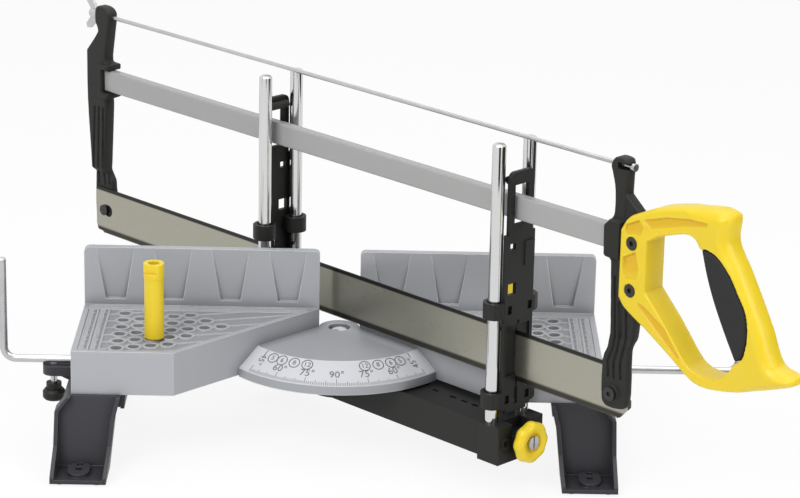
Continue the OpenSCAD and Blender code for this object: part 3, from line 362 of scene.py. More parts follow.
# %% Paint, plastics and rubber
surface("spine_paint", colour=(0.36, 0.365, 0.36), drift=(0.33, 0.335, 0.33),
        dark=(0.15, 0.15, 0.15), edge_highlight=(0.5, 0.51, 0.5), rough=(0.3, 0.42),
        scale=800.0, bump=0.06, radius=0.0008, reach=0.006, shade=0.6)
surface("black_plastic", colour=(0.021, 0.021, 0.0195), drift=(0.015, 0.015, 0.014),
        dark=(0.002, 0.002, 0.002), edge_highlight=(0.05, 0.05, 0.048), rough=(0.42, 0.58),
        scale=2200.0, bump=0.2, radius=0.0007, reach=0.012, highlight_strength=0.4, shade=0.95, gloss=0.25)
surface("leg_plastic", colour=(0.034, 0.0335, 0.040), drift=(0.027, 0.0265, 0.033),
        dark=(0.005, 0.005, 0.007), edge_highlight=(0.10, 0.10, 0.115), rough=(0.36, 0.5),
        scale=2200.0, bump=0.2, radius=0.0009, highlight_strength=0.5, shade=0.85, gloss=0.4)
surface("black_rubber", colour=(0.022, 0.022, 0.023), drift=(0.016, 0.016, 0.017),
        dark=(0.005, 0.005, 0.005), edge_highlight=(0.05, 0.05, 0.05), rough=(0.55, 0.75),
        scale=1800.0, bump=0.5, reach=0.006, gloss=0.3)
surface("dial_mark", colour=(0.13, 0.135, 0.15), drift=(0.16, 0.165, 0.18),
        dark=(0.10, 0.10, 0.11), edge_highlight=(0.18, 0.18, 0.19), rough=(0.5, 0.7))
print("looks so far:", sorted(looks))

# %% [markdown]
# ### Yellow plastic
# Light enters bright yellow plastic and leaves it a few millimetres away, redder than before,
# which makes its shaded side glow. Subsurface scattering does this; a plain colour would look
# like paint. Crevices get painted shade of a deeper orange, and the handle's recesses get it as
# well. Their mask is a mesh attribute, which is written where the handle is built.

# %% Yellow plastic
for name in ("yellow_plastic", "handle_yellow"):
    surface(name, colour=(0.79, 0.60, 0.016), drift=(0.76, 0.565, 0.014),
            dark=(0.60, 0.28, 0.004), edge_highlight=(0.86, 0.76, 0.05), rough=(0.3, 0.44),
            scale=1500.0, bump=0.06, reach=0.005)
    shader = looks[name].node_tree.nodes["Principled BSDF"].inputs
    shader["Subsurface Weight"].default_value = 0.45
    shader["Subsurface Radius"].default_value = (1.0, 0.65, 0.1)
    shader["Subsurface Scale"].default_value = 0.006
# Painted shade of deeper orange in the handle's recesses.
recess_shade_node = add(looks["handle_yellow"].node_tree, "ShaderNodeAttribute", attribute_name="recess_shade")
tint("handle_yellow", recess_shade_node.outputs["Fac"], (0.70, 0.42, 0.010), 0.8)
print("looks:", sorted(looks))

# %% [markdown]
# ### Dressing the CAD nodes
# The record names a material slot for each node, and most looks carry a slot's name. The legs
# and the dial have looks of their own, because they differ from other pieces of their slot.

# %% Give each CAD node its material
slot_of = {p["node"]: p["material_slot"] for p in frame["record"]["subparts"]}
own_look = {"left_leg": "leg_plastic", "right_leg": "leg_plastic", "sector_plate": "dial_grey"}
for name, obj in nodes.items():
    obj.data.materials.clear()
    obj.data.materials.append(looks[own_look.get(name, slot_of[name])])
print("dressed", len(nodes), "nodes")

# %% [markdown]
# ## Moulded shapes
# The handle, its grip and the two posts are moulded: their faces swell and their edges are
# round. They could be modelled by hand with subdivision, but their outlines were measured and
# have to stay exact. So each is built from its outline: a grid is laid over it, points near the
# line are drawn onto the line, and the thickness falls off towards it in a quarter round.
# All four belong to the saw, which stands at 45 degrees, so they are drawn in the arm's own
# directions: s from the pivot to the handle, t across the saw, and z up.

# %% From the arm's directions to the part's frame
HALF = math.sqrt(0.5)
ALONG = Vector((HALF, -HALF, 0.0))
ACROSS = Vector((HALF, HALF, 0.0))


def arm_point(s, t, z):
    """A point in metres from its s, t and z in millimetres."""
    return (PIVOT + float(s) * ALONG + float(t) * ACROSS + Vector((0, 0, float(z)))) * MM


print("the arm points along", tuple(round(v, 3) for v in ALONG))

# %% [markdown]
# Every new mesh goes through one function. It merges double points, turns all faces outwards,
# shades the mesh smooth except at sharp edges, makes it ride on its body, and hides the CAD
# node it stands for.

# %% A new piece


def new_piece(name, points, faces, body, look, node=None, crease=40.0):
    """A clean mesh that moves with a body; edges sharper than crease degrees stay sharp."""
    mesh = bpy.data.meshes.new(name)
    mesh.from_pydata([tuple(p) for p in points], [], [tuple(int(i) for i in f) for f in faces])
    shell = bmesh.new()
    shell.from_mesh(mesh)
    bmesh.ops.remove_doubles(shell, verts=shell.verts, dist=0.02 * MM)
    bmesh.ops.dissolve_degenerate(shell, edges=shell.edges, dist=0.005 * MM)
    bmesh.ops.recalc_face_normals(shell, faces=shell.faces)
    shell.to_mesh(mesh)
    shell.free()
    mesh.polygons.foreach_set("use_smooth", [True] * len(mesh.polygons))
    mesh.set_sharp_from_angle(angle=math.radians(crease))
    mesh.materials.append(looks[look])
    obj = bpy.data.objects.new(name, mesh)
    bpy.context.scene.collection.objects.link(obj)
    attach(obj, body)
    if node:
        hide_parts(node)
    print(name, len(mesh.vertices), "points")
    return obj


# %% [markdown]
# An outline is a closed smooth line through a few measured points. Blender's own curves could
# draw it, but the grid needs to know how far each of its points is from the line and whether it
# is inside, so the line is worked out in numpy.

# %% Outlines


def curve_loop(points, steps=6):
    """A closed smooth line through the points; a point given twice stays a corner."""
    pts = [np.array(p, float) for p in points]
    count = len(pts)
    line = []
    for k in range(count):
        a, b, c, d = pts[k - 1], pts[k], pts[(k + 1) % count], pts[(k + 2) % count]
        span = np.linalg.norm(c - b)
        if span < 1e-9:
            continue
        before, after = np.linalg.norm(b - a), np.linalg.norm(d - c)
        m0 = (c - a) * span / (span + before) if before > 1e-9 else c - b
        m1 = (d - b) * span / (span + after) if after > 1e-9 else c - b
        for q in range(steps):
            u = q / steps
            line.append((2 * u**3 - 3 * u**2 + 1) * b + (u**3 - 2 * u**2 + u) * m0
                        + (3 * u**2 - 2 * u**3) * c + (u**3 - u**2) * m1)
    return np.array(line)


def to_outline(pts, loop):
    """Distance to a closed line, the nearest point on it, and whether each point is inside."""
    near = np.full(len(pts), np.inf)
    foot = np.zeros_like(pts)
    inside = np.zeros(len(pts), bool)
    for p, q in zip(loop, np.roll(loop, -1, axis=0)):
        run = q - p
        u = np.clip(((pts - p) @ run) / max(run @ run, 1e-12), 0, 1)
        spot = p + u[:, None] * run
        gap = np.hypot(*(pts - spot).T)
        closer = gap < near
        near[closer] = gap[closer]
        foot[closer] = spot[closer]
        if p[1] != q[1]:
            crosses = (p[1] > pts[:, 1]) != (q[1] > pts[:, 1])
            at = p[0] + (pts[:, 1] - p[1]) * (q[0] - p[0]) / (q[1] - p[1])
            inside ^= crosses & (pts[:, 0] < at)
    return near, foot, inside


square = np.array([(-1, -1), (1, -1), (1, 1), (-1, 1)], float)
print("the middle of a 2 mm square is", to_outline(np.zeros((1, 2)), square)[0][0], "mm inside")

# %% [markdown]
# A moulded face is a flat one with small forms added: round edges, pockets, grooves and pads.
# Each form is a function from grid points to a number between 0 and 1, or to a depth.

# %% Forms on a face


def smooth(x):
    """0 below 0, 1 above 1 and a soft rise between."""
    x = np.clip(x, 0, 1)
    return x * x * (3 - 2 * x)


def mix(a, b, weight):
    """a where the weight is 0, b where it is 1."""
    return a + (b - a) * weight


def quarter_round(depth, radius):
    """How much thickness is lost at a depth inside a rounded edge."""
    lost = np.clip(1 - depth / radius, 0, 1)
    return radius * (1 - np.sqrt(1 - lost**2))


def pocket(pts, outline, soft):
    """1 inside an outline, with a sloping wall."""
    gap, _, inside = to_outline(pts, outline)
    return np.where(inside, smooth(gap / soft), 0.0)


def groove(pts, path, width):
    """1 along a bent line of a given width."""
    best = np.full(len(pts), np.inf)
    for p, q in zip(path, path[1:]):
        run = q - p
        u = np.clip(((pts - p) @ run) / (run @ run), 0, 1)
        best = np.minimum(best, np.hypot(*(pts - p - u[:, None] * run).T))
    return smooth(1.5 - best * 2 / width)


def block(pts, left, right, bottom, top, soft=0.9):
    """1 inside a rectangle, with sloping sides."""
    beside = np.minimum(pts[:, 0] - left, right - pts[:, 0])
    above = np.minimum(pts[:, 1] - bottom, top - pts[:, 1])
    return smooth(np.minimum(beside, above) / soft + 0.5)


print("a 2 mm round loses", round(float(quarter_round(0.5, 2.0)), 2), "mm at 0.5 mm inside")

# %% [markdown]
# The grid keeps the cells inside the outline. A point outside that lies close to the line, or
# one inside that nearly touches it, moves onto the line, so the cut edge is clean.

# %% A grid cut to an outline


def lay_grid(loops, step):
    """Points, their gaps to each line, and faces; loops are an outline and its holes."""
    low = np.min(loops[0], axis=0) - step
    high = np.max(loops[0], axis=0) + step
    a = np.arange(low[0], high[0] + step, step)
    b = np.arange(low[1], high[1] + step, step)
    ga, gb = np.meshgrid(a, b, indexing="ij")
    pts = np.column_stack([ga.ravel(), gb.ravel()])
    gaps, feet, insides = zip(*(to_outline(pts, loop) for loop in loops))
    gaps = np.array(gaps)
    inside = insides[0].copy()
    for hole in insides[1:]:
        inside &= ~hole
    nearest, gap = np.argmin(gaps, axis=0), gaps.min(axis=0)
    keep = inside | (gap < 0.8 * step)
    snap = keep & (~inside | (gap < 0.35 * step))
    for k, foot in enumerate(feet):
        here = snap & (nearest == k)
        pts[here] = foot[here]
        gaps[k, here] = 0.0
    number = np.full(len(pts), -1)
    number[keep] = np.arange(keep.sum())
    grid = number.reshape(ga.shape)
    on_line = snap[keep]
    faces = []
    for i in range(len(a) - 1):
        for j in range(len(b) - 1):
            corners = (grid[i, j], grid[i + 1, j], grid[i + 1, j + 1], grid[i, j + 1])
            held = [c for c in corners if c >= 0]
            if len(held) >= 3 and not all(on_line[c] for c in held):
                faces.append(held)
    return pts[keep], gaps[:, keep], faces


print("a 2 mm square on a 0.5 mm grid:", len(lay_grid([square], 0.5)[2]), "faces")

# %% [markdown]
# The same faces then serve twice, once for the near side and once for the far side, and a wall
# joins them round every open edge. A Solidify modifier would do this for an even thickness, but
# here each side has its own shape.

# %% Two sides and a wall


def close_shell(near, far, faces):
    """Points and faces of a closed shell between two copies of the same faces."""
    sides = set()
    for face in faces:
        sides.update(zip(face, face[1:] + face[:1]))
    rim = sorted((p, q) for p, q in sides if (q, p) not in sides)
    used = sorted({c for face in faces for c in face})
    index = {c: n for n, c in enumerate(used)}
    size = len(used)
    shell = [[index[c] for c in face] for face in faces]
    shell += [[index[c] + size for c in face[::-1]] for face in faces]
    shell += [[index[q], index[p], index[p] + size, index[q] + size] for p, q in rim]
    return [near[c] for c in used] + [far[c] for c in used], shell


print("helper:", close_shell.__name__)

# %% A moulded piece of the saw
THINNEST = 0.4


def moulded(name, loops, step, near, far, loss, look):
    """near and far give each face's t, and loss how far it falls back towards the edges."""
    pts, gaps, faces = lay_grid(loops, step)
    lost = loss(pts, gaps)
    near_t, far_t = near(pts) + lost, far(pts) - lost
    tight = near_t > far_t - THINNEST
    middle = (near_t + far_t) / 2
    near_t[tight] = middle[tight] - THINNEST / 2
    far_t[tight] = middle[tight] + THINNEST / 2
    near_side, far_side = ([arm_point(s, t, z) for (s, z), t in zip(pts, across)]
                           for across in (near_t, far_t))
    points, shell = close_shell(near_side, far_side, faces)
    return new_piece(name, points, shell, "saw", look, name)


print("nothing is moulded thinner than", THINNEST, "mm")

# %% [markdown]
# ### The handle
# The real handle is one yellow moulding: a flat plate that clasps the post, two arms, and a
# hand grip that is thicker and rounder. Its outline runs through points measured from the
# blade's rear hole and the spine's lower edge. Shallow recesses lighten the arms and the plate,
# two screws sit in round holes, and three low ledges mark the places of the fingers.

# %% The handle's outlines
HEEL, SPINE_Z = 280.7, 206.3


def from_spot(points, s, z=0.0):
    """Points in s and z that are measured from a spot."""
    return np.array(points, float) + (s, z)


def at_heel(points):
    """Points measured from the heel hole and the spine's lower edge."""
    return from_spot(points, HEEL, SPINE_Z)


handle_loop = curve_loop(at_heel([
    (4, -30), (4, -30), (4, 19), (4, 19), (11, 29), (25, 36.2), (36.7, 41.2), (58.4, 46.6),
    (82.3, 51.3), (91, 51.2), (97.5, 47.8), (97.2, 29.7), (108.2, 12.2), (128.5, -22.9),
    (139.2, -44.6), (151.2, -48.4), (156.2, -49.6), (157, -54), (143.1, -60.5), (114.1, -70.3),
    (86.1, -75.5), (72.5, -73.8), (53.1, -62), (30.9, -48.6), (9.9, -36.9)]))
handle_loop[:, 0] = np.minimum(handle_loop[:, 0], HEEL + 157)
hand_hole = curve_loop(at_heel([
    (29, 15.7), (29, 15.7), (29, -20.3), (29, -20.3), (48.3, -40.1), (68.3, -62.2),
    (78.6, -66.3), (96.6, -65.3), (109.8, -50.3), (114.8, -46.6), (117.4, -41.8),
    (119.4, -27.4), (116.7, -14.3), (108.6, -0.7), (100.6, 11), (90.4, 20.2), (80, 23),
    (76.1, 21.6), (70.5, 27.1), (62.8, 29), (45.8, 24.1), (38, 21.4)]))
SCREW_S, SCREW_R = 15, 4.75
rounds = [k * math.pi / 18 for k in range(36)]
screw_holes = [
    at_heel([(SCREW_S + SCREW_R * math.cos(a), z + SCREW_R * math.sin(a)) for a in rounds])
    for z in (11, -23)]
print("handle outline", len(handle_loop), "points; hand hole", len(hand_hole))

# %% The handle's recesses and finger ledges
recesses = [at_heel(p) for p in (
    [(25.5, 30.9), (45.3, 37.1), (68.4, 41.2), (82.1, 41.8), (81.2, 39.2), (57.3, 32.9),
     (31.8, 24.9), (27.5, 27.6)],
    [(22.4, -28.8), (31, -32.4), (47.8, -42.4), (61.9, -59.8), (58.4, -60.8), (42.1, -47.8),
     (24.5, -34.1)],
    [(8.5, 23.5), (21, 29.5), (25, 24.5), (22.5, 18), (17, 18), (9.5, 16)],
    [(7.6, 0), (19, 6), (22, -6), (21, -14), (11.5, -15.5), (7.6, -12)])]
finger_marks = at_heel([(109.5, 19.4), (125, 0.1), (136.2, -23.5)])
RECESS, FULL_TINT, LEAN, WALL = 1.3, 1.2, 0.16, 0.8
LEDGE, LEDGE_HALF, LEDGE_FADE = 0.9, 7, 4


def sunk(pts):
    """Depth of the recesses; their floors lean back, so they look downwards a little."""
    depth = np.zeros(len(pts))
    for outline in recesses:
        slope = np.polyfit(outline[:, 0], outline[:, 1], 1)
        above = np.clip(pts[:, 1] - np.polyval(slope, pts[:, 0]), -5, 5)
        depth += (RECESS + LEAN * above) * pocket(pts, outline, WALL)
    return depth


def ledges(pts):
    """Height of the finger ledges: each is sharp below and fades upwards."""
    height = np.zeros(len(pts))
    for spot in finger_marks:
        rise = pts[:, 1] - spot[1]
        width = smooth(1 - np.abs(pts[:, 0] - spot[0]) / LEDGE_HALF)
        height += LEDGE * width * np.where(rise > 0, np.exp(-rise / LEDGE_FADE), 0.0)
    return height


print(len(recesses), "recesses and", len(finger_marks), "ledges")

# %% Handle
PLATE_HALF, GRIP_SWELL = 10, 1.5
GRIP_LEAN, GRIP_START, GRIP_RUN = 0.45, 78, 16
PLATE_ROUND, GRIP_ROUND, HAND_ROUND, SCREW_ROUND = 3, 9, 1.4, 0.5


def in_grip(pts):
    """0 on the plate and arms, 1 in the hand grip."""
    along = pts[:, 0] - HEEL + GRIP_LEAN * (pts[:, 1] - SPINE_Z)
    return smooth((along - GRIP_START) / GRIP_RUN)


def handle_near(pts):
    """The face nearer the camera, with recesses and ledges."""
    return -PLATE_HALF - GRIP_SWELL * in_grip(pts) + sunk(pts) - ledges(pts)


def handle_far(pts):
    """The other face, with recesses alone."""
    return PLATE_HALF + GRIP_SWELL * in_grip(pts) - sunk(pts)


def handle_loss(pts, gaps):
    """The grip's edge is rounder than the plate's, and the holes' edges are nearly sharp."""
    outer = quarter_round(gaps[0], mix(PLATE_ROUND, GRIP_ROUND, in_grip(pts)))
    hand = quarter_round(gaps[1], HAND_ROUND)
    screws = quarter_round(np.min(gaps[2:], axis=0), SCREW_ROUND)
    return np.minimum(outer + hand + screws, GRIP_ROUND)


handle = moulded("handle", [handle_loop, hand_hole, *screw_holes], 0.8,
                 handle_near, handle_far, handle_loss, "handle_yellow")
# The depth of the recesses becomes the mask of their painted shade.
spots = np.array([v.co[:] for v in handle.data.vertices]) / MM - np.array(PIVOT)
depths = sunk(np.column_stack([spots @ np.array(ALONG), spots[:, 2]]))
recess_shade = handle.data.attributes.new("recess_shade", "FLOAT", "POINT")
recess_shade.data.foreach_set("value", np.clip(depths / FULL_TINT, 0, 1))

# %% [markdown]
# ### The grip insert
# A black textured pad sits in the front of the grip, where the fingers close. It is a little
# thinner than the yellow around it and rounder at its edge, so a dark crease runs round it.

# %% Grip insert
INSERT_HALF = 10.9
insert_loop = curve_loop(at_heel([
    (76.1, 21.6), (76.1, 21.6), (81.5, 4.5), (88.6, -12.3), (98.5, -31), (109.1, -49.1),
    (109.1, -49.1), (114.6, -46.4), (117.2, -41.8), (119.2, -27.4), (116.5, -14.3),
    (108.4, -0.7), (100.4, 11), (90.2, 20), (80, 22.8)]))
moulded("grip_insert", [insert_loop], 0.8,
        lambda pts: np.full(len(pts), -INSERT_HALF), lambda pts: np.full(len(pts), INSERT_HALF),
        lambda pts, gaps: quarter_round(gaps[0], 3.2), "black_rubber")

# %% [markdown]
# ### The two posts
# Both posts are black mouldings with a waist, a thicker socket for the spine and three grooves
# down the lower half. Below the grooves the heel post passes in front of the blade and the toe
# post behind it, so their faces step across over a few millimetres. The heel post also has a
# slot for the tension rod at its top and a round boss for the blade's screw.

# %% Heel post
SOCKET_LOW, SOCKET_HIGH, SOCKET_HALF = 201.3, 228.8, 8.0
GROOVE_DEEP, GROOVE_WIDE = 1.4, 1.8
HEEL_STEP_Z, HEEL_STEP_RUN = 147, 9
BOSS_Z, BOSS_R, BOSS_HIGH = 103, 6.4, 0.8
heel_loop = curve_loop(from_spot([
    (-10.7, 266.8), (-8.6, 271.8), (-5, 273.8), (2, 273.4), (5, 271.2), (5, 271.2), (5, 263.8),
    (3.8, 248.8), (3.8, 248.8), (15.8, 238.8), (15.8, 238.8), (19, 231.8), (19, 176.3),
    (16, 157), (14.6, 144), (13.6, 133), (13.6, 97), (9, 93), (-5, 92), (-9.5, 97), (-9.5, 128),
    (-5.7, 138), (-6.3, 170), (-7.6, 198.3), (-7.6, 198.3), (-12.2, 203), (-12.2, 203),
    (-12.7, 224), (-12.7, 224), (-8.3, 229), (-6, 234.4), (-6.5, 251.7), (-9.3, 262)], HEEL), 4)
heel_grooves = [from_spot(path, HEEL) for path in (
    [(-2.6, 187.8), (0.1, 138.5), (-4.3, 126.5), (-3.7, 114.2)],
    [(2.3, 170), (4.1, 138.2), (0.9, 126.6), (1.5, 114.3)],
    [(8, 166), (9.5, 139), (6.8, 128.2), (7.6, 114.6)])]


def cut_grooves(face, pts, paths):
    """A near face with grooves sunk into it."""
    for path in paths:
        face += GROOVE_DEEP * groove(pts, path, GROOVE_WIDE)
    return face


def heel_face(pts, side, below):
    """The plate, thinner where the handle clasps it, the step and the socket; side is -1 or 1."""
    face = mix(side * 4.0, side * 5.0, smooth((HEEL + 4.2 - pts[:, 0]) / 1.4))
    face = mix(face, below, smooth((HEEL_STEP_Z - pts[:, 1]) / HEEL_STEP_RUN))
    socket = block(pts, HEEL - 20, HEEL + 2.5, SOCKET_LOW, SOCKET_HIGH)
    return mix(face, side * SOCKET_HALF, socket)


def heel_near(pts):
    """The face with the rod's slot, the grooves and the boss."""
    slot = block(pts, HEEL - 4, HEEL + 12, 265.8, 269.8, 0.5)
    face = cut_grooves(mix(heel_face(pts, -1, -6.5), 1.8, slot), pts, heel_grooves)
    return face - BOSS_HIGH * smooth(BOSS_R - np.hypot(pts[:, 0] - HEEL, pts[:, 1] - BOSS_Z))


moulded("heel_post", [heel_loop], 0.6, heel_near, lambda pts: heel_face(pts, 1, -0.5),
        lambda pts, gaps: quarter_round(gaps[0], 1.6), "black_plastic")

# %% Toe post
TOE = -279.3
TOE_STEP_Z, TOE_STEP_RUN = 139.5, 6
toe_loop = curve_loop(from_spot([
    (-4.5, 271), (-3.4, 274), (-0.5, 275.8), (9, 274.8), (13, 270.3), (11.3, 255.8), (8, 236),
    (8, 231), (8, 231), (13.5, 228.8), (13.5, 228.8), (13.5, 224.3), (13.5, 224.3),
    (6.5, 224.3), (6.5, 224.3), (6.5, 205.8), (6.5, 205.8), (13.5, 205.8), (13.5, 205.8),
    (13.5, 201.3), (13.5, 201.3), (8.2, 199), (8.2, 199), (8.5, 194.3), (5.6, 145), (5.2, 135.5),
    (8.7, 129.5), (9.5, 122), (11.5, 113), (11.5, 97), (6, 92), (-9, 92), (-12.3, 96),
    (-12.3, 131), (-11.2, 140), (-15.3, 196.3), (-15.6, 237), (-15.6, 237), (-1.5, 254.5),
    (-2, 258), (-4.4, 262)], TOE), 4)
toe_grooves = [from_spot(path, TOE) for path in (
    [(-5.6, 190.8), (-8.0, 139.8), (-7.6, 124)],
    [(-0.3, 191.4), (-2.1, 140.5), (0.4, 124.3)],
    [(5, 191.3), (3.6, 141), (6.2, 125)])]


def toe_face(pts, side, below):
    """The plate, the step and the socket; side is -1 or 1."""
    face = mix(side * 5.0, below, smooth((TOE_STEP_Z - pts[:, 1]) / TOE_STEP_RUN))
    socket = block(pts, TOE + 2, TOE + 20, SOCKET_LOW, SOCKET_HIGH)
    return mix(face, side * SOCKET_HALF, socket)


moulded("toe_post", [toe_loop], 0.6,
        lambda pts: cut_grooves(toe_face(pts, -1, 0.5), pts, toe_grooves),
        lambda pts: toe_face(pts, 1, 6.5),
        lambda pts, gaps: quarter_round(gaps[0], 1.8), "black_plastic")

# %% [markdown]
# ### The lock knob
# The knob at the arm's end is a dished yellow disc with eight soft lobes. A Screw modifier could
# turn its profile, but not make the lobes. So the profile is carried round the axis in code, and
# its outer part is drawn in a little between the lobes.

# %% Lock knob
KNOB_BACK, KNOB_Z = 196.4, 40.6
TURNS, LOBES, DIP, LOBES_FROM = 96, 8, 0.9, 10.5
profile = [
    (3.1, 0), (12.5, 0), (14.2, 0.5), (15.2, 1.5), (15.8, 2.8), (16, 4), (15.9, 5.3), (15.5, 6.5),
    (14.7, 7.7), (13.5, 8.6), (12.3, 9), (11, 8.95), (9.8, 8.7), (8.4, 8.1), (7.6, 7.5),
    (7.2, 6.7), (6.6, 6.1), (5.3, 5.9), (3.1, 5.8)]
size = len(profile)
points, faces = [], []
for k in range(TURNS):
    angle = 2 * math.pi * k / TURNS
    start, after = k * size, (k + 1) % TURNS * size
    for i, (radius, height) in enumerate(profile):
        between = 0.5 - 0.5 * math.cos(LOBES * angle)
        r = radius - DIP * float(smooth((radius - LOBES_FROM) / 4)) * between
        points.append(arm_point(KNOB_BACK + height, r * math.cos(angle),
                                KNOB_Z + r * math.sin(angle)))
        j = (i + 1) % size
        faces.append([start + i, after + i, after + j, start + j])
new_piece("lock_knob", points, faces, "lock", "yellow_plastic", "lock_knob", 35.0)

# %% [markdown]
# ## Scales
# The dial's band carries a degree scale with a tick at every degree, angle numbers, and ringed
# numbers that give the count of sides of a frame. The tables' outer edges have two ruler strips
# with a tick every two millimetres. A picture of them would need an unwrapped mesh and blur
# close up, so all of them are thin raised shapes, gathered into one mesh for each scale.

# %% Collecting thin raised shapes


class Marks:
    """Points and faces of many small shapes that make one mesh."""

    def __init__(self):
        self.points, self.faces = [], []

    def put(self, points, faces):
        start = len(self.points)
        self.points += points
        self.faces += [[start + i for i in face] for face in faces]

    def prism(self, outline, height, place):
        """A flat outline raised by a height; place maps x, y and height to the part's frame."""
        count = len(outline)
        walls = [[i, (i + 1) % count, count + (i + 1) % count, count + i] for i in range(count)]
        self.put([place(x, y, h) for h in (0.0, height) for x, y in outline],
                 [list(range(count))[::-1], list(range(count, 2 * count))] + walls)

    def number(self, text, size, height, place):
        """A number in the built-in font, centred on the place."""
        data = bpy.data.curves.new("number", "FONT")
        data.body, data.size = text, size
        data.align_x, data.align_y = "CENTER", "CENTER"
        data.extrude = height / 2
        data.offset = -0.004 * size
        data.resolution_u = 3
        shape = bpy.data.objects.new("number", data)
        bpy.context.scene.collection.objects.link(shape)
        bpy.context.view_layer.update()
        mesh = shape.to_mesh()
        self.put([place(v.co.x, v.co.y, v.co.z + height / 2) for v in mesh.vertices],
                 [list(p.vertices) for p in mesh.polygons])
        shape.to_mesh_clear()
        bpy.data.objects.remove(shape)
        bpy.data.curves.remove(data)


def bar(x0, y0, x1, y1):
    """The outline of a rectangle."""
    return [(x0, y0), (x1, y0), (x1, y1), (x0, y1)]


print("helpers:", Marks.__name__, bar.__name__)

# %% [markdown]
# The band is part of a cone. Each mark is drawn flat, and a small frame of directions lays it
# on the cone: along the arc, up the slope and away from the surface. The marks start a hair
# below the surface, so no gap shows under them.

# %% Laying flat shapes on the dial's band
BAND_Z, BAND_FALL = 75.4, 13.0
SLOPE = math.atan2(BAND_FALL, BAND_W)
SINK = 0.05


def on_band(angle, radius, spin=0.0):
    """Maps x along the arc, y up the slope and a height; spin turns the shape, in degrees."""
    a = math.radians(angle)
    out = Vector((math.sin(a), -math.cos(a), 0))
    drop = BAND_FALL * (radius - BAND_R) / BAND_W
    origin = PIVOT + out * radius + Vector((0, 0, BAND_Z - drop))
    across = Vector((math.cos(a), math.sin(a), 0))
    slope = -math.cos(SLOPE) * out + Vector((0, 0, math.sin(SLOPE)))
    lift = across.cross(slope)
    c, s = math.cos(math.radians(spin)), math.sin(math.radians(spin))

    def place(x, y, h):
        on_arc = origin + (c * x - s * y) * across
        return (on_arc + (s * x + c * y) * slope + (h - SINK) * lift) * MM

    return place


print("the band falls", round(math.degrees(SLOPE), 1), "degrees")

# %% Ticks on the dial
dial = Marks()
RAISE = 0.22
TICK_FOOT, TICK_HALF = 93.3, 0.2
for degree in range(-45, 46):
    top = 88.6 if degree % 15 == 0 else (90.2 if degree % 5 == 0 else 91.4)
    half = (TICK_FOOT - top) / 2 / math.cos(SLOPE)
    dial.prism(bar(-TICK_HALF, -half, TICK_HALF, half), RAISE,
               on_band(degree, (TICK_FOOT + top) / 2))
print("ticks:", len(dial.faces), "faces")

# %% Numbers on the dial
NUMBER_R, RING_R, RING_IN, RING_OUT = 85.4, 79.3, 3.8, 4.4
NUMBER_SIZE, END_SIZE, COUNT_SIZE = 8.2, 7.6, 5.6
LEFT_SHIFT = 1.2
ring = [(math.cos(2 * math.pi * k / 40), math.sin(2 * math.pi * k / 40)) for k in range(40)]
for side in (-1, 1):
    for count, angle in ((12, 15.0), (8, 22.5), (6, 30.0), (5, 36.0)):
        spot = on_band(side * angle - (LEFT_SHIFT if side < 0 else 0.0), RING_R)
        for (px, py), (qx, qy) in zip(ring, ring[1:] + ring[:1]):
            dial.prism([(RING_IN * px, RING_IN * py), (RING_OUT * px, RING_OUT * py),
                        (RING_OUT * qx, RING_OUT * qy), (RING_IN * qx, RING_IN * qy)],
                       RAISE, spot)
        dial.number(str(count), COUNT_SIZE, RAISE, spot)
    dial.number("75°", NUMBER_SIZE, RAISE, on_band(side * 15, NUMBER_R))
    dial.number("60°", NUMBER_SIZE, RAISE, on_band(side * 30, NUMBER_R))
    dial.number("45°", END_SIZE, RAISE, on_band(side * 43.2, 83.0, 90 * side))
    dial.prism(bar(-0.35, -2.2, 0.35, 2.2), RAISE, on_band(side * 43.6, 77.2))
dial.number("90°", NUMBER_SIZE, RAISE, on_band(0, NUMBER_R))
new_piece("dial_scale", dial.points, dial.faces, "base", "dial_mark", crease=20.0)

# %% Ruler ticks on the tables
TABLE_END, FRONT_Y, BACK_Y = 194.5, -50.0, 40.0
RULER_IN, RULER_W, RULER_GAP = 4.0, 7.0, 1.4
MARK_STEP, MARK_HALF, MARK_MARGIN, MARK_HIGH = 2, 0.45, 0.6, 0.7


def on_floor(x, y, h):
    """A point at a height over the sunken floor of a deck."""
    return Vector((x, y, FLOOR_Z - SINK + h)) * MM


ruler = Marks()
for side in (-1, 1):
    for strip in (0, 1):
        outer = TABLE_END - RULER_IN - strip * (RULER_W + RULER_GAP) - MARK_MARGIN
        for k in range(int(BACK_Y - FRONT_Y) // MARK_STEP - 1):
            inner = outer - (5.4 if k % 5 == 0 else 4.2)
            y = FRONT_Y + MARK_STEP + MARK_STEP * k
            ruler.prism(bar(side * outer, y - MARK_HALF, side * inner, y + MARK_HALF),
                        MARK_HIGH, on_floor)
new_piece("ruler_ticks", ruler.points, ruler.faces, "base", "cast_grey", crease=20.0)

# %% [markdown]
# ## Camera, floor and light
# The camera stands where the photograph was taken from. Its place, its turn and its focal
# length were worked out from edges that can be measured both in the photograph and on the part.
# It is not placed by eye.

# %% Camera at the photograph's angle
eye = Vector((35.70, -2137.41, 862.07)) * MM
yaw, pitch, roll = (math.radians(a) for a in (0.2484, 18.291, -1.1653))
ahead = Vector((math.sin(yaw) * math.cos(pitch), math.cos(yaw) * math.cos(pitch),
                -math.sin(pitch)))
level = Vector((math.cos(yaw), -math.sin(yaw), 0.0))
down = ahead.cross(level)
right = math.cos(roll) * level + math.sin(roll) * down
up = math.sin(roll) * level - math.cos(roll) * down
lens = bpy.data.cameras.new("studio_camera")
lens.sensor_width = 36.0
lens.lens = 136.69
lens.clip_end = 50.0
camera = bpy.data.objects.new("studio_camera", lens)
turn = Matrix((right, up, -ahead)).transposed()
camera.matrix_world = Matrix.Translation(eye) @ turn.to_4x4()
bpy.context.scene.collection.objects.link(camera)
bpy.context.scene.camera = camera
print("camera at", tuple(round(v, 3) for v in eye))

